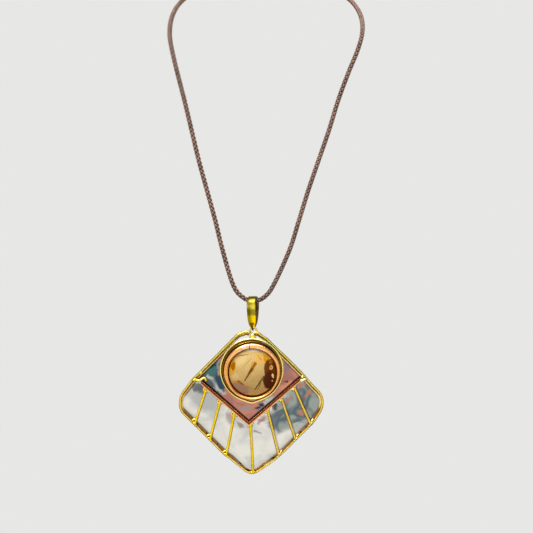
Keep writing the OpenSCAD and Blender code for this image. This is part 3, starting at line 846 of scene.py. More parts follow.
class Shape:
    """A mesh being modelled, in millimetres."""

    # Length of a wire's rounded ends and radius at their tips, as parts of the wire's radius.
    nose = 0.5
    tip = 0.2

    def __init__(self) -> None:
        """Starts an empty mesh with a layer for the crown."""
        self.bm = bmesh.new()
        self.crown = self.bm.verts.layers.float.new("crown")

    @staticmethod
    def frames(path: Sequence[Vector], up: Vector | None, closed: bool) -> Iterator[tuple[Vector, Vector]]:
        """The side and up directions at each point of a path; without up they are carried along it."""
        count = len(path)
        carried: Vector | None = None
        for k in range(count):
            if closed:
                way = path[(k + 1) % count] - path[k - 1]
            else:
                way = path[min(count - 1, k + 1)] - path[max(0, k - 1)]
            way.normalize()
            if up is not None:
                side = way.cross(up).normalized()
            else:
                side = way.orthogonal() if carried is None else carried - carried.dot(way) * way
                side.normalize()
                carried = side
            yield side, side.cross(way)

    def ring(self, count: int, filled: bool) -> Ring:
        """A first ring of vertices, with its edges."""
        verts = bmesh.ops.create_circle(self.bm, cap_ends=filled, radius=1.0, segments=count)["verts"]
        return verts, list(dict.fromkeys(e for v in verts for e in v.link_edges))

    def grow(self, verts: list[BMVert], edges: list[BMEdge]) -> Ring:
        """Extrudes a ring, and returns the new one with its vertices in the same order."""
        order = {v: i for i, v in enumerate(verts)}
        made = bmesh.ops.extrude_edge_only(self.bm, edges=edges)["geom"]
        places = {}
        for v in (g for g in made if isinstance(g, BMVert)):
            for e in v.link_edges:
                if e.other_vert(v) in order:
                    places[order[e.other_vert(v)]] = v
        outer = [e for e in made if isinstance(e, BMEdge) and not any(v in order for v in e.verts)]
        return [places[i] for i in range(len(verts))], outer

    def sweep(
        self,
        path: Sequence[Vector],
        section: Callable[[int], Sequence[Point]],
        up: Vector | None = None,
        closed: bool = False,
    ) -> Shape:
        """Sweeps a section along a path.

        Args:
            path: the centre-line.
            section: the offsets, sideways and up, at each point.
            up: a fixed up direction for a flat path.
            closed: joins the end to the start.

        Returns:
            This shape.
        """
        verts, edges = self.ring(len(section(0)), False)
        first = edges
        for k, (side, lift) in enumerate(self.frames(path, up, closed)):
            if k:
                verts, edges = self.grow(verts, edges)
            for v, (a, b) in zip(verts, section(k)):
                v.co = path[k] + a * side + b * lift
                v[self.crown] = b / max(1e-6, math.hypot(a, b))
        if closed:
            bmesh.ops.bridge_loops(self.bm, edges=[*edges, *first])
        else:
            bmesh.ops.edgeloop_fill(self.bm, edges=edges)
            bmesh.ops.edgeloop_fill(self.bm, edges=first)
        return self

    def wire(
        self,
        path: Sequence[Vector],
        radius: float,
        sides: int = 12,
        rough: float = 0.04,
        flat: float = 0.0,
        closed: bool = False,
    ) -> Shape:
        """A hand-worked round wire with soft ends, on a flat path.

        Args:
            path: the centre-line.
            radius: the wire's radius.
            sides: corners of its section.
            rough: relative unevenness of its thickness.
            flat: amount filed off its underside.
            closed: joins the end to the start.

        Returns:
            This shape.
        """
        corners = circle(sides)
        run = [0.0]
        for a, b in zip(path, path[1:]):
            run.append(run[-1] + (b - a).length)

        def section(k: int) -> list[Point]:
            """The wire's outline at one point."""
            uneven = 2 * noise.noise(path[k] * 0.45) + noise.noise(path[k] * 1.7)
            size = radius * (1 + rough * uneven)
            if not closed:
                end = min(run[k], run[-1] - run[k]) / (self.nose * radius)
                size *= math.sqrt(max(self.tip**2, 1 - (1 - min(1.0, end)) ** 2))
            return [(size * c, max(flat - radius, size * s)) for c, s in corners]

        return self.sweep(path, section, Vector((0, 0, 1)), closed)

    def lathe(self, profile: Sequence[Point], centre: Vector, steps: int) -> Shape:
        """Turns a profile, radius and height, about an upright axis."""
        bm = self.bm
        verts = [bm.verts.new(centre + Vector((r, 0, h))) for r, h in profile]
        geom = [*verts, *(bm.edges.new(pair) for pair in zip(verts, verts[1:]))]
        whole = 2 * math.pi
        bmesh.ops.spin(bm, geom=geom, cent=centre, axis=(0, 0, 1), angle=whole, steps=steps, use_merge=True)
        bmesh.ops.remove_doubles(bm, verts=bm.verts, dist=1e-5)
        return self

    def blob(self, centre: Vector, radii: Place, turn: float = 0.0) -> None:
        """A lump of solder: an uneven flattened ball."""
        made = bmesh.ops.create_icosphere(self.bm, subdivisions=3, radius=1.0)["verts"]
        spin = Matrix.Rotation(math.radians(turn), 3, "Z")
        for v in made:
            v[self.crown] = v.co.z
            swell = 1 + 0.22 * noise.noise(v.co * 1.3 + centre)
            v.co = centre + spin @ Vector(a * b * swell for a, b in zip(v.co, radii))

    def take(self, other: Shape) -> None:
        """Moves another shape's mesh into this one."""
        mesh = bpy.data.meshes.new("part")
        other.bm.to_mesh(mesh)
        other.bm.free()
        self.bm.from_mesh(mesh)
        bpy.data.meshes.remove(mesh)

    def piece(
        self,
        name: str,
        finish: Finish,
        slot: Slot,
        body: Body = Body.PENDANT,
        matrix: Matrix = PENDANT,
        crease: float = 50.0,
        also: Sequence[Finish] = (),
    ) -> Object:
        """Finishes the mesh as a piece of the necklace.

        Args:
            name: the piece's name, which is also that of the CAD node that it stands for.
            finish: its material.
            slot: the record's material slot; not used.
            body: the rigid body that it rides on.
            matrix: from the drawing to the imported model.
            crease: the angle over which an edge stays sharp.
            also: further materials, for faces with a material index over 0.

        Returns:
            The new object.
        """
        bmesh.ops.transform(self.bm, matrix=matrix, verts=self.bm.verts)
        bmesh.ops.recalc_face_normals(self.bm, faces=self.bm.faces)
        mesh = bpy.data.meshes.new(name)
        self.bm.to_mesh(mesh)
        self.bm.free()
        mesh.shade_smooth()
        mesh.set_sharp_from_angle(angle=math.radians(crease))
        for layer in (finish, *also):
            mesh.materials.append(layer.material())
        made = bpy.data.objects.new(name, mesh)
        bpy.context.scene.collection.objects.link(made)
        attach(made, body.value)
        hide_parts(name)
        LOG.info("piece %s: %d faces", name, len(mesh.polygons))
        return made


@dataclass
class Path:
    """Builds flat wire paths from lines and bends, with a little hand wander."""

    depth: float
    step: float
    wander: float = 0.0
    framed: bool = False
    points: list[Point] = field(default_factory=list)

    def line(self, start: Point, end: Point) -> Path:
        """Adds a straight run."""
        a, b = Vector(start), Vector(end)
        count = max(2, round((b - a).length / self.step))
        self.add([tuple(a.lerp(b, i / count)) for i in range(count + 1)])
        return self

    def bend(self, centre: Point, r: float, start: float, end: float) -> Path:
        """Adds an arc between two angles in degrees."""
        count = max(3, round(abs(math.radians(end - start)) * r / self.step))
        angles = [math.radians(start + (end - start) * i / count) for i in range(count + 1)]
        self.add([(centre[0] + r * math.cos(a), centre[1] + r * math.sin(a)) for a in angles])
        return self

    def add(self, points: Sequence[Point]) -> None:
        """Adds points, without one that repeats the last."""
        for p in points:
            if not self.points or (Vector(p) - Vector(self.points[-1])).length > 1e-4:
                self.points.append(p)

    def place(self) -> list[Vector]:
        """The path's points in the drawing."""
        made = []
        for x, y in self.points:
            seed = Vector((x * 0.09, y * 0.09, self.depth))
            hand = Vector((noise.noise(seed), noise.noise(seed + Vector((7.3, 1.1, 0)))))
            spot = bent(x, y) if self.framed else Vector((x, y))
            made.append(Vector((*(spot + hand * self.wander), self.depth)))
        return made


@dataclass
class FrameWires:
    """The two frame wires, the posts and the eye at the top."""

    half: float = HALF
    corner: float = CORNER
    outer_r: float = 0.6
    inner_r: float = 0.5
    post_r: float = 0.55
    step_in: float = 1.11
    arch_r: float = 2.3
    arch_right: float = 19.17
    arch_left: float = 20.58
    depth: float = 1.0
    inner_depth: float = 1.05
    outer_wander: float = 0.16
    inner_wander: float = 0.1
    inner_trim: float = 30.0
    post_end: float = 29.14
    post_lap: float = 0.1
    eye: Point = (0.8, 33.29)
    eye_r: float = 1.55
    eye_wire_r: float = 0.4

    def build(self) -> list[Object]:
        """Models and dresses every piece of the frame."""
        return [self.outer(), self.inner(), self.posts(), self.hanging_eye()]

    @staticmethod
    def turned(x: float, y: float) -> Point:
        """A place on the level square, turned on its corner."""
        return (x - y) / ROOT_TWO, (x + y) / ROOT_TWO

    def square(self, inset: float) -> list[Point]:
        """The open square on its corner, from the left arch round the bottom to the right arch."""
        h, corner = self.half - inset, self.corner - inset
        c = (h - corner) * ROOT_TWO
        k = corner / ROOT_TWO
        path = Path(0.0, 0.45)
        path.line(self.turned(self.arch_left, h), (-c - k, k))
        path.bend((-c, 0), corner, 135, 225)
        path.line((-c - k, -k), (-k, -c - k))
        path.bend((0, -c), corner, 225, 315)
        path.line((k, -c - k), (c + k, -k))
        path.bend((c, 0), corner, -45, 45)
        path.line((c + k, k), self.turned(h, self.arch_right))
        return path.points

    def arched(self, inset: float, trim: float, depth: float, wander: float) -> list[Vector]:
        """The square with its two arches.

        Args:
            inset: how far it lies inside the outer wire.
            trim: degrees by which its arches stop short.
            depth: its place in depth.
            wander: how far it strays by hand.

        Returns:
            The wire's centre-line.
        """
        side = self.half - self.arch_r
        r = self.arch_r - inset
        path = Path(depth, 0.3, wander, True)
        path.bend(self.turned(self.arch_left, side), r, trim, 135)
        path.points += self.square(inset)[1:]
        path.bend(self.turned(side, self.arch_right), r, 45, 180 - trim)
        return path.place()

    def outer(self) -> Object:
        """The bright outer wire with its two arches."""
        path = self.arched(0.0, 0.0, self.depth, self.outer_wander)
        shape = Shape().wire(path, self.outer_r, 14, 0.035)
        return shape.piece("outer_frame_wire", WIRE_BRASS, Slot.BRIGHT)

    def inner(self) -> Object:
        """The duller wire just inside."""
        path = self.arched(self.step_in, self.inner_trim, self.inner_depth, self.inner_wander)
        shape = Shape().wire(path, self.inner_r, rough=0.05)
        return shape.piece("inner_frame_wire", INNER_BRASS, Slot.DULL)

    def posts(self) -> Object:
        """The two short posts under the arches."""
        side = self.half - self.arch_r
        shape = Shape()
        for arch, sign in ((self.arch_right, 1), (self.arch_left, -1)):
            x = sign * ((side - arch) / ROOT_TWO - self.arch_r)
            top = (side + arch) / ROOT_TWO + self.post_lap
            path = Path(self.depth, 0.25, framed=True).line((x, self.post_end), (x, top))
            shape.wire(path.place(), self.post_r, rough=0.05)
        return shape.piece("top_posts", WIRE_BRASS, Slot.BRIGHT)

    def hanging_eye(self) -> Object:
        """The small eye that the bail passes through."""
        path = Path(0.0, 0.3).bend(self.eye, self.eye_r, 0, 360)
        shape = Shape().wire(path.place()[:-1], self.eye_wire_r, rough=0.02, closed=True)
        return shape.piece("hanging_eye", SOLDER, Slot.BRIGHT)


@dataclass
class WavyPlate:
    """The polished sheet behind everything, hammered into soft waves."""

    half: float = 24.75
    corner: float = 6.25
    top: float = 23.5
    cup_r: float = 14.2
    thick: float = 0.8
    rings: int = 46
    spokes: int = 220
    wave: float = 0.1
    sag: float = 0.09
    fade: Point = (0.5, 4.5)

    def inside(self, x: float, y: float) -> bool:
        """Whether a place is on the sheet."""
        a, b = abs(x + y) / ROOT_TWO, abs(y - x) / ROOT_TWO
        c = self.half - self.corner
        if max(a, b) > self.half:
            return False
        if a > c and b > c and math.hypot(a - c, b - c) > self.corner:
            return False
        return y <= self.top or math.hypot(x - CUP[0], y - CUP[1]) <= self.cup_r

    def reach(self, way: Point) -> float:
        """The distance from the centre to the sheet's edge, found by halving."""
        low, high = 0.0, 2 * self.half
        for _ in range(40):
            middle = (low + high) / 2
            if self.inside(middle * way[0], middle * way[1]):
                low = middle
            else:
                high = middle
        return low

    def lift(self, x: float, y: float) -> float:
        """Height of the waves, which fade out under the bezel."""
        away = math.hypot(x - CUP[0], y - CUP[1]) - self.cup_r
        broad = noise.noise(Vector((x * 0.11, y * 0.11, 3.1)))
        fine = noise.noise(Vector((x * 0.27, y * 0.27, 8.4)))
        return ease(away, *self.fade) * (self.wave * (broad + 0.5 * fine) - self.sag)

    def build(self) -> list[Object]:
        """Models the sheet as rings of cells out to its edge, then gives it thickness."""
        shape = Shape()
        bm = shape.bm
        ways = circle(self.spokes)
        edge = [self.reach(way) for way in ways]
        verts, edges = shape.ring(self.spokes, True)
        for k in range(1, self.rings + 1):
            if k > 1:
                verts, edges = shape.grow(verts, edges)
            for v, (c, s), far in zip(verts, ways, edge):
                r = far * k / self.rings
                v.co = (*bent(r * c, r * s), SEAT + self.lift(r * c, r * s))
        bmesh.ops.recalc_face_normals(bm, faces=bm.faces)
        bmesh.ops.solidify(bm, geom=bm.faces[:], thickness=self.thick)
        bmesh.ops.recalc_face_normals(bm, faces=bm.faces)
        bm.normal_update()
        for face in bm.faces:
            face.material_index = int(face.normal.z < 0.5)
        return [shape.piece("back_plate", PLATE, Slot.NICKEL, crease=35, also=[NICKEL])]


@dataclass
class ChevronAndRays:
    """The copper chevron, the seven rays, the two ties and the solder at their ends."""

    left: float = -24.0
    right: float = 23.0
    width: float = 1.5
    height: float = 1.2
    round: float = 0.2
    ray_r: float = 0.66
    ray_start: float = 0.63
    tie_r: float = 0.607
    tie_start: float = 22.6
    flat: float = 0.12
    heads: tuple[float, ...] = (-21.3, -14.7, -8, -0.6, 7.3, 13.7, 19.6)
    feet: tuple[float, ...] = (-26.8, -19.6, -12, 0.7, 12.6, 20.3, 27.4)
    left_tie: tuple[Point, ...] = (
        (-27.1, 10.7), (-25.2, 10.0), (-23.8, 10.6), (-22.8, 11.4), (-21.7, 11.0), (-21.6, 9.7)
    )
    right_tie: tuple[Point, ...] = ((23.6, 9.9), (25.6, 10.9))
    solder_up: float = 0.22
    foot_in: float = 0.35
    drop_gap: float = 0.6
    ear_at: Point = (1.55, 0.75)
    curl_up: float = 0.32
    curl_r: float = 0.4
    foot_curl: Point = (2.2, 2.3)
    head_curl: float = 1.5
    tie_passes: int = 6
    # Radii of the drops at a ray's foot and head.
    foot_long: Place = (1.5, 0.66, 0.66)
    foot_round: Place = (0.8, 0.8, 0.66)
    foot_ear: Place = (1.0, 0.55, 0.6)
    head_long: Place = (1.9, 0.6, 0.66)
    head_round: Place = (1.1, 0.85, 0.66)
    # Drops away from the rays: place, with its height over the plate, radii and turn.
    drops: tuple[tuple[Place, Place, float], ...] = (
        ((-27.2, 10.4, 0.22), (1.2, 0.6, 0.55), 20),
        ((-24.0, 13.4, 0.22), (0.6, 0.8, 0.5), 10),
        ((23.9, 11.8, 0.22), (1.0, 0.6, 0.55), 35),
        ((24.6, 10.3, 0.22), (0.9, 0.6, 0.5), 20),
        ((0.5, 29.5, 0.0), (2.3, 0.62, 0.6), 0),
        ((0.5, 30.6, -0.3), (1.6, 1.6, 0.75), 0),
        ((0.75, 31.75, -1.1), (0.75, 0.8, 0.6), 0),
    )

    def build(self) -> list[Object]:
        """Models and dresses the strip, the rays, the ties and the solder."""
        start = self.on_chevron(self.tie_start)
        return [
            self.strip(),
            *(self.ray(i) for i in range(len(self.heads))),
            self.tie("tie_left", self.left_tie),
            self.tie("tie_right", (start, *self.right_tie)),
            self.solder(),
        ]

    def laid(self) -> float:
        """The depth at which a wire with a filed underside lies on the sheet."""
        return SEAT + self.ray_r - self.flat

    def half_strip(self) -> float:
        """Half the strip's width, measured upright."""
        return self.width / 2 / math.cos(ARM)

    @staticmethod
    def on_chevron(x: float) -> Point:
        """A place on the strip's centre-line."""
        return x, TIP[1] + abs(x - TIP[0]) * math.tan(ARM)

    @staticmethod
    def foot(x: float) -> Point:
        """A place on the lower sides of the outer wire."""
        if abs(x) > CORNER / ROOT_TWO:
            return x, abs(x) - HALF * ROOT_TWO
        centre = (HALF - CORNER) * ROOT_TWO
        return x, -centre - math.sqrt(CORNER**2 - x * x)

    def ends(self, i: int) -> tuple[Vector, Vector]:
        """A ray's head on the strip, and its foot where it meets the bowed side."""
        head, foot = Vector(self.on_chevron(self.heads[i])), Vector(self.foot(self.feet[i]))
        push = bent(*foot) - foot
        way = (foot - head).normalized()
        return head, foot + way * (push.length_squared / push.dot(way))

    def strip(self) -> Object:
        """The copper strip: an outline, raised and rounded."""
        shape = Shape()
        bm = shape.bm
        lift = self.half_strip()
        ends = (self.left, TIP[0], self.right)
        outline = [(x, y + lift) for x, y in map(self.on_chevron, ends)]
        outline += [(x, y - lift) for x, y in map(self.on_chevron, reversed(ends))]
        verts = [bm.verts.new((x, y, SEAT)) for x, y in outline]
        quads = [bm.faces.new([verts[i] for i in ids]) for ids in ((0, 5, 4, 1), (1, 4, 3, 2))]
        raised = bmesh.ops.extrude_face_region(bm, geom=quads)["geom"]
        top = [v for v in raised if isinstance(v, BMVert)]
        bmesh.ops.translate(bm, verts=top, vec=(0, 0, self.height))
        bmesh.ops.recalc_face_normals(bm, faces=bm.faces)
        rim = [e for e in bm.edges if all(v in top for v in e.verts) and e.calc_face_angle(0) > 1.0]
        bmesh.ops.bevel(
            bm, geom=rim, offset=self.round, segments=3, profile=0.5, affect="EDGES", material=-1
        )
        return shape.piece("chevron", STRIP, Slot.COPPER, crease=60)

    def ray(self, i: int) -> Object:
        """One of the fanned wires, with its underside filed flat."""
        head, foot = self.ends(i)
        start = head + (foot - head).normalized() * self.ray_start
        path = Path(self.laid(), 0.35, 0.1).line(tuple(start), tuple(foot))
        shape = Shape().wire(path.place(), self.ray_r, rough=0.06, flat=self.flat)
        return shape.piece(f"ray_{i + 1}", RAY_BRASS, Slot.BRIGHT)

    def tie(self, name: str, points: Sequence[Point]) -> Object:
        """A short curled wire between the frame and the chevron's end."""
        path = Path(self.laid(), 0.25)
        for start, end in zip(points, points[1:]):
            path.line(start, end)
        soft = path.place()
        for _ in range(self.tie_passes):
            inner = [(a + 2 * b + c) / 4 for a, b, c in zip(soft, soft[1:], soft[2:])]
            soft = [soft[0], *inner, soft[-1]]
        shape = Shape().wire(soft, self.tie_r, rough=0.08, flat=self.flat)
        return shape.piece(name, SOLDER, Slot.BRIGHT)

    def curl(self, shape: Shape, centre: Vector, start: Vector, end: Vector) -> None:
        """A small curl of wire round a corner, between two places counted from it."""
        points = []
        for i in range(11):
            way = start.lerp(end, i / 10)
            reach = start.length + (end.length - start.length) * i / 10
            points.append(Vector((*(centre + way.normalized() * reach), SEAT + self.curl_up)))
        shape.wire(points, self.curl_r, 10, 0.1, 0.05)

    def solder(self) -> Object:
        """The fillets of solder at the wires' ends."""
        shape = Shape()
        for i in range(len(self.heads)):
            head, foot = self.ends(i)
            way = (head - foot).normalized()
            self.foot_solder(shape, foot + way * self.foot_in, way)
            self.head_solder(shape, head, way)
        for (x, y, high), radii, turn in self.drops:
            shape.blob(Vector((x, y, SEAT + high)), radii, turn)
        return shape.piece("solder_joints", SOLDER, Slot.SOLDER)

    def foot_solder(self, shape: Shape, at: Vector, way: Vector) -> None:
        """Solder where a ray meets the frame, with a curl on the left sides and an ear on the right."""
        up = SEAT + self.solder_up
        side = 0 if abs(at.x) < 5 else math.copysign(1, at.x)
        along = Vector((side, abs(side))).normalized() if side else Vector((1, 0))
        lean = math.degrees(math.atan2(along.y, along.x))
        shape.blob(Vector((*at, up)), self.foot_long, lean)
        shape.blob(Vector((*(at + way * self.drop_gap), up)), self.foot_round, lean)
        if side < 0:
            self.curl(shape, at, way * self.foot_curl[0], along * self.foot_curl[1])
        elif side > 0:
            ear = at + along * self.ear_at[0] + way * self.ear_at[1]
            shape.blob(Vector((*ear, up)), self.foot_ear, lean + 15)

    def head_solder(self, shape: Shape, head: Vector, way: Vector) -> None:
        """Solder where a ray meets the strip, with a curl on the left arm."""
        up = SEAT + self.solder_up
        arm = math.copysign(ARM, head.x - TIP[0])
        slope = math.degrees(arm)
        at = head - Vector((0, self.half_strip() + 0.2))
        shape.blob(Vector((*at, up)), self.head_long, slope)
        shape.blob(Vector((*(at - way * self.drop_gap), up + 0.1)), self.head_round, slope)
        if slope < 0:
            edge = Vector((math.cos(arm), math.sin(arm)))
            self.curl(shape, at, way * -self.head_curl, edge * -self.head_curl)


@dataclass
class BezelSet:
    """The copper cup, the stone in it, the pad under the stone and the wire ring round the cup."""

    wall_r: float = 13.25
    cup_r: float = 11.5
    rim_r: float = 0.98
    rim_up: float = 4.2
    foot_r: float = 13.6
    foot_h: float = 0.6
    # How the rim is shifted and waves, and how far the opening is pressed, for each millimetre inwards.
    rim_shift: Point = (0.2, -0.25)
    rim_wave: float = 0.12
    press: Point = (0.1, -0.32)
    press_oval: float = 0.08
    stone_r: float = 11.4
    stone_low: float = 2.3
    stone_edge: float = 1.6
    stone_dome: float = 2.6
    stone_shift: Place = (0.2, -0.15, 0.0)
    halo_r: float = 14.625
    halo_wire_r: float = 0.525
    halo_up: float = 0.03
    halo_point: float = 0.85
    halo_point_turn: float = 11.0

    def build(self) -> list[Object]:
        """Models and dresses the cup, the stone, the pad and the ring."""
        return [self.cup(), self.stone(), self.pad(), self.halo()]

    @staticmethod
    def sink(shape: Shape) -> None:
        """Leans a shape so that it sinks as it comes forward."""
        for v in shape.bm.verts:
            v.co.y -= LEAN * (v.co.z - SEAT)

    @staticmethod
    def middle(depth: float) -> Vector:
        """The cup's axis at a depth."""
        return Vector((*CUP, depth))

    def cup(self) -> Object:
        """The wall, its rounded rim and its foot, with the opening pressed down and to the right."""
        rim_x, rim_y = self.wall_r - self.rim_r, self.rim_up - self.rim_r
        over = [math.radians(a) for a in range(-10, 211, 12)]
        profile = [(self.cup_r, 0.0), (self.foot_r, 0.0), (self.foot_r, self.foot_h * 0.8)]
        profile += [(self.foot_r - 0.15, self.foot_h), (self.wall_r + 0.02, self.foot_h + 0.1)]
        profile += [(self.wall_r - 0.03, self.foot_h + 0.4)]
        profile += [(rim_x + self.rim_r * math.cos(a), rim_y + self.rim_r * math.sin(a)) for a in over]
        profile += [(self.cup_r, rim_y - 0.7), (self.cup_r, 0.0)]
        shape = Shape().lathe(profile, self.middle(SEAT), 128)
        for v in shape.bm.verts:
            across, up = v.co.x - CUP[0], v.co.y - CUP[1]
            turn = math.atan2(up, across)
            sway = noise.noise(Vector((math.cos(turn) * 1.6, math.sin(turn) * 1.6, 4.0)))
            v.co.z += self.rim_wave * sway * (v.co.z - SEAT) / self.rim_up
            inward = max(0.0, self.wall_r - math.hypot(across, up))
            high = (v.co.z - SEAT) / self.rim_up
            v.co.x += self.rim_shift[0] * high
            v.co.x += (self.press[0] + self.press_oval * math.cos(turn)) * inward
            v.co.y += self.rim_shift[1] * high + self.press[1] * inward
        self.sink(shape)
        return shape.piece("bezel_wall", COPPER, Slot.COPPER)

    def stone(self) -> Object:
        """The low round cabochon."""
        dome = (self.stone_r**2 + self.stone_dome**2) / (2 * self.stone_dome)
        widest = math.asin(self.stone_r / dome)
        top = self.stone_edge + self.stone_dome
        profile = [(0.0, 0.0), (self.stone_r - 0.1, 0.0), (self.stone_r, 0.1)]
        for i in range(28):
            a = widest * (1 - i / 28)
            profile.append((dome * math.sin(a), top - dome * (1 - math.cos(a))))
        profile.append((0.0, top))
        shape = Shape().lathe(profile, self.middle(self.stone_low) + Vector(self.stone_shift), 112)
        self.sink(shape)
        return shape.piece("stone", STONE, Slot.STONE, crease=40)

    def pad(self) -> Object:
        """The pad under the stone."""
        r, high = self.stone_r, self.stone_low - SEAT
        profile = [(0.0, 0.0), (r - 0.1, 0.0), (r, 0.1), (r, high), (0.0, high)]
        shape = Shape().lathe(profile, self.middle(SEAT), 64)
        self.sink(shape)
        return shape.piece("stone_bed", PAD, Slot.PAD)

    def halo(self) -> Object:
        """The wire ring, drawn down to a soft point at the bottom."""
        depth = SEAT + self.halo_up + self.halo_wire_r
        path = []
        for c, s in circle(240):
            off = math.degrees(abs(math.atan2(c, -s)))
            r = self.halo_r + self.halo_point * math.exp(-((off / self.halo_point_turn) ** 1.5))
            r += 0.1 * noise.noise(Vector((c * 1.5, s * 1.5, 2.2)))
            path.append(Vector((CUP[0] + r * c, CUP[1] + r * s, depth)))
        shape = Shape().wire(path, self.halo_wire_r, 14, 0.03, closed=True)
        return shape.piece("halo_ring", HALO_BRASS, Slot.BRIGHT)


@dataclass
class FoldedBail:
    """The tapered band that is folded over the cord and through the eye."""

    eye: Place = (-6.45, -40.0, -136.7)
    low: float = 1.55
    low_r: float = 1.3
    high: float = 12.45
    high_r: float = 4.2
    thick: float = 0.7
    edge_r: float = 0.28
    crown: float = 0.16
    inner_crown: float = 0.2
    turn: float = -13.0
    over_steps: int = 36
    under_steps: int = 14
    side_steps: int = 24
    # Half widths of the band at heights above the eye.
    widths: tuple[Point, ...] = (
        (0.0, 0.36), (0.95, 0.38), (1.5, 0.66), (2.2, 1.15), (3.0, 1.55),
        (4.2, 1.85), (5.4, 2.0), (7.6, 2.1), (13.5, 2.1), (17.0, 1.95),
    )

    def half_width(self, up: float) -> float:
        """Half the band's width at a height above the eye."""
        for (h0, w0), (h1, w1) in zip(self.widths, self.widths[1:]):
            if up <= h1:
                return w0 + (w1 - w0) * ease(up, h0, h1)
        return self.widths[-1][1]

    def outline(self) -> list[Vector]:
        """The middle of the band seen from the side: a drop, from the front over the top and back."""
        big, small = self.high_r - self.thick / 2, self.low_r - self.thick / 2
        lean = math.asin((big - small) / (self.high - self.low))
        top = self.fold(big, self.high, -lean, math.pi + lean, self.over_steps)
        foot = self.fold(small, self.low, math.pi + lean, 2 * math.pi - lean, self.under_steps)
        return [*top, *self.side(top[-1], foot[0]), *foot, *self.side(foot[-1], top[0])]

    @staticmethod
    def fold(r: float, height: float, start: float, end: float, steps: int) -> list[Vector]:
        """One of the two round folds, between two angles."""
        turns = [start + (end - start) * i / steps for i in range(steps + 1)]
        return [Vector((0, -r * math.cos(a), height + r * math.sin(a))) for a in turns]

    def side(self, start: Vector, end: Vector) -> list[Vector]:
        """The straight band between two folds, without its ends."""
        return [start.lerp(end, i / self.side_steps) for i in range(1, self.side_steps)]

    def build(self) -> list[Object]:
        """Models the band as one closed strip of rounded section, with its crown outside."""
        path = self.outline()
        flat = self.thick / 2 - self.edge_r

        def section(k: int) -> list[Point]:
            """The band's outline at one point."""
            half = self.half_width(path[k].z)
            made = []
            for n, (sx, sy) in enumerate(((1, 1), (-1, 1), (-1, -1), (1, -1))):
                for j in range(4):
                    a = math.pi / 2 * (n + j / 3)
                    across = sx * (half - self.edge_r) + self.edge_r * math.cos(a)
                    out = sy * flat + self.edge_r * math.sin(a)
                    rise = self.crown * (1 - (across / half) ** 2)
                    made.append((-out - rise * (1 if out > 0 else self.inner_crown), across))
            return made

        shape = Shape().sweep(path, section, Vector((1, 0, 0)), True)
        bmesh.ops.recalc_face_normals(shape.bm, faces=shape.bm.faces)
        shape.bm.normal_update()
        # Faces inside the loop take the darker brass, as painted shade.
        for face in shape.bm.faces:
            middle = face.calc_center_median()
            out = middle - Vector((0, 0, max(self.low, min(self.high, middle.z))))
            inside = face.normal.dot(Vector((0, out.y, out.z))) < -0.3 * out.length
            face.material_index = int(inside)
        matrix = WORLD @ Matrix.Translation(self.eye) @ Matrix.Rotation(math.radians(self.turn), 4, "Z")
        return [shape.piece("bail", BAIL_BRASS, Slot.BRIGHT, Body.BAIL, matrix, 45, [BAIL_SHADED_INSIDE])]


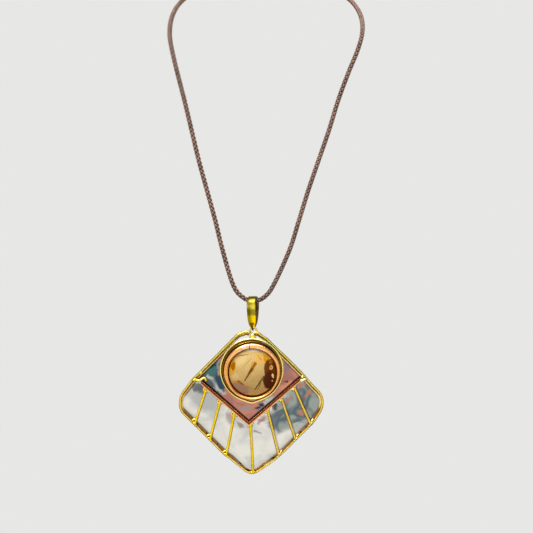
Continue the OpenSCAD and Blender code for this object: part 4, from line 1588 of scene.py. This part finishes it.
@dataclass
class BraidedCord:
    """The round braid on the route, drawn strand by strand."""

    diameter: float = 2.5
    pitch: float = 6.2
    strands: int = 3
    mid_r: float = 0.68
    weave: float = 0.22
    strand_w: float = 0.4
    strand_t: float = 0.36
    core_r: float = 0.72
    step: float = 0.27
    bend_steps: int = 60
    core_every: int = 8
    path_every: int = 4
    length: float = 0.494

    def centre_line(self) -> list[Vector]:
        """The route as an even row of points in millimetres."""
        route = [Vector(p) / MM for p in ROUTE]
        last = len(route) - 1
        fine = []
        for i in range(last):
            a, b, c, d = (route[max(0, min(last, i + j))] for j in (-1, 0, 1, 2))
            slope, curve, twist = c - a, 2 * a - 5 * b + 4 * c - d, 3 * b - a - 3 * c + d
            for n in range(self.bend_steps):
                t = n / self.bend_steps
                fine.append(0.5 * (2 * b + slope * t + curve * t**2 + twist * t**3))
        fine.append(route[-1])
        even, left = [fine[0]], self.step
        for a, b in zip(fine, fine[1:]):
            run = (b - a).length
            at = 0.0
            while run - at >= left:
                at += left
                even.append(a.lerp(b, at / run))
                left = self.step
            left -= run - at
        even[-1] = fine[-1]
        return even

    def build(self, with_pieces: Sequence[Object]) -> list[Object]:
        """Args:
            with_pieces: the pieces at its ends; not used.

        Returns:
            The cord, in a list.
        """
        line = self.centre_line()
        axes = list(Shape.frames(line, None, False))
        whole = Shape()
        for direction in (1, -1):
            for k in range(self.strands):
                whole.take(self.strand(line, axes, direction, 2 * math.pi * k / self.strands))
        section = [(self.core_r * c, self.core_r * s) for c, s in circle(10)]
        core = Shape().sweep([*line[:: self.core_every], line[-1]], lambda _: section)
        # The core takes the nearly black finish, as painted shade.
        for face in core.bm.faces:
            face.material_index = 1
        whole.take(core)
        made = whole.piece("cord", BRAID, Slot.BRAID, Body.CORD, WORLD, 70, [CORE])
        path = [p * MM for p in (*line[:: self.path_every], line[-1])]
        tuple(ROUTE[0])
        return [made]

    def strand(
        self, line: Sequence[Vector], axes: Sequence[tuple[Vector, Vector]], direction: int, start: float
    ) -> Shape:
        """One flat strand that winds round the line and dips under the others.

        Args:
            line: the cord's centre-line.
            axes: side and up directions along it.
            direction: 1 or -1, the way that it winds.
            start: its angle at the start.

        Returns:
            The strand.
        """
        path, outs, dips = [], [], []
        for k, (p, (side, lift)) in enumerate(zip(line, axes)):
            wound = 2 * math.pi * k * self.step / self.pitch
            turn = start + direction * wound
            out = math.cos(turn) * side + math.sin(turn) * lift
            dip = direction * math.cos(self.strands * wound)
            path.append(p + out * (self.mid_r + self.weave * dip))
            outs.append(out)
            dips.append(dip)
        shape = Shape()
        bm = shape.bm
        corners = circle(8)
        last = len(path) - 1
        grid = []
        for k, (out, dip) in enumerate(zip(outs, dips)):
            way = (path[min(last, k + 1)] - path[max(0, k - 1)]).normalized()
            side = way.cross(out).normalized()
            lift = side.cross(way)
            offsets = [side * self.strand_w * c + lift * self.strand_t * s for c, s in corners]
            ring = [bm.verts.new(path[k] + offset) for offset in offsets]
            for v in ring:
                v[shape.crown] = dip
            grid.append(ring)
        for lower, upper in zip(grid, grid[1:]):
            for i in range(len(corners)):
                bm.faces.new((lower[i - 1], lower[i], upper[i], upper[i - 1]))
        bm.faces.new(reversed(grid[0]))
        bm.faces.new(grid[-1])
        return shape


@dataclass
class ClaspChain:
    """The caps, rings and clasp at the nape, dressed on their CAD meshes."""

    nodes: dict[str, Object]
    crease: float = 30.0

    def build(self) -> list[Object]:
        """Smooths and dresses every piece of the chain."""
        finishes = {
            "end_cap_left": BRASS,
            "end_cap_right": BRASS,
            "jump_ring_left": PALE_BRASS,
            "jump_ring_right": PALE_BRASS,
            "clasp_body": BRASS,
            "clasp_lever": PALE_BRASS,
            "clasp_pin": DULL_BRASS,
            "clasp_spring": STEEL,
        }
        made = []
        for name, finish in finishes.items():
            piece = self.nodes[name]
            piece.data.materials.clear()
            piece.data.materials.append(finish.material())
            piece.data.shade_smooth()
            piece.data.set_sharp_from_angle(angle=math.radians(self.crease))
            LOG.info("piece %s: CAD mesh", name)
            made.append(piece)
        return made


@dataclass
class Studio:
    """The camera, the pale surroundings and the soft lights."""

    eye: Place = (0.0, -0.34, -0.106)
    lens: float = 42.55
    aim: Place = (-0.007, -0.04, -0.15)

    def build(self) -> None:
        """Sets up everything round the object."""
        self.camera()
        self.surroundings()
        self.softbox("key", (-0.3, -0.6, 0.6), (0.5, 0.5), 6.5)
        self.softbox("front", (0.0, -1.1, -0.25), (1.3, 1.3), 4.6)
        self.softbox("left", (-0.8, -0.4, -0.1), (0.5, 0.8), 1.5)
        self.softbox("right", (0.8, -0.4, -0.1), (0.5, 0.8), 1.3)
        self.softbox("top", (0.0, -0.4, 0.7), (0.9, 0.6), 7.0)
        self.softbox("low", (0.0, -0.6, -0.9), (0.9, 0.6), 1.6)
        self.softbox("back", (0.0, 1.1, 0.1), (1.3, 1.3), 6.0)
        bpy.context.scene.view_settings.view_transform = "Standard"

    def camera(self) -> None:
        """The photo's level view from in front."""
        data = bpy.data.cameras.new("camera")
        data.lens = self.lens
        data.sensor_width = 36.0
        data.clip_start = 0.01
        data.dof.use_dof = False
        camera = bpy.data.objects.new("camera", data)
        camera.location = self.eye
        camera.rotation_euler = (math.pi / 2, 0.0, 0.0)
        bpy.context.scene.collection.objects.link(camera)
        bpy.context.scene.camera = camera

    @staticmethod
    def surroundings() -> None:
        """A pale background, with calmer surroundings for reflections."""
        world = bpy.data.worlds.new("studio")
        bpy.context.scene.world = world
        world.use_nodes = True
        tree = world.node_tree
        tree.nodes.clear()
        path = tree.nodes.new("ShaderNodeLightPath")
        seen = Field(tree, path.outputs["Is Camera Ray"])
        mirrored = Field(tree, path.outputs["Is Glossy Ray"])
        tone = mirrored.mix((0.14, 0.14, 0.145), (0.24, 0.235, 0.23))
        tone = seen.mix(tone, (0.8, 0.8, 0.79))
        shader = seen.node("ShaderNodeBackground", {"Color": tone, "Strength": 1.0})
        output = tree.nodes.new("ShaderNodeOutputWorld")
        tree.links.new(shader.socket, output.inputs["Surface"])

    def softbox(self, name: str, place: Place, size: Point, power: float) -> None:
        """A rectangular soft light that faces the pendant."""
        data = bpy.data.lights.new(name, "AREA")
        data.shape = "RECTANGLE"
        data.size, data.size_y = size
        data.energy = power
        lamp = bpy.data.objects.new(name, data)
        lamp.location = place
        way = Vector(self.aim) - Vector(place)
        lamp.rotation_euler = way.to_track_quat("-Z", "Y").to_euler()
        lamp.visible_camera = False
        bpy.context.scene.collection.objects.link(lamp)


def main() -> None:
    """Builds every sub-assembly in order and reports the pieces."""
    logging.basicConfig(level=logging.INFO, format="%(message)s")
    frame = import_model()
    Studio().build()
    pieces = []
    for part in (FrameWires(), WavyPlate(), ChevronAndRays(), BezelSet(), FoldedBail()):
        pieces += part.build()
    chain = ClaspChain(frame["nodes"]).build()
    pieces += [*chain, *BraidedCord().build(chain)]
    LOG.info("%d pieces", len(pieces))


if __name__ == "__main__":
    main()
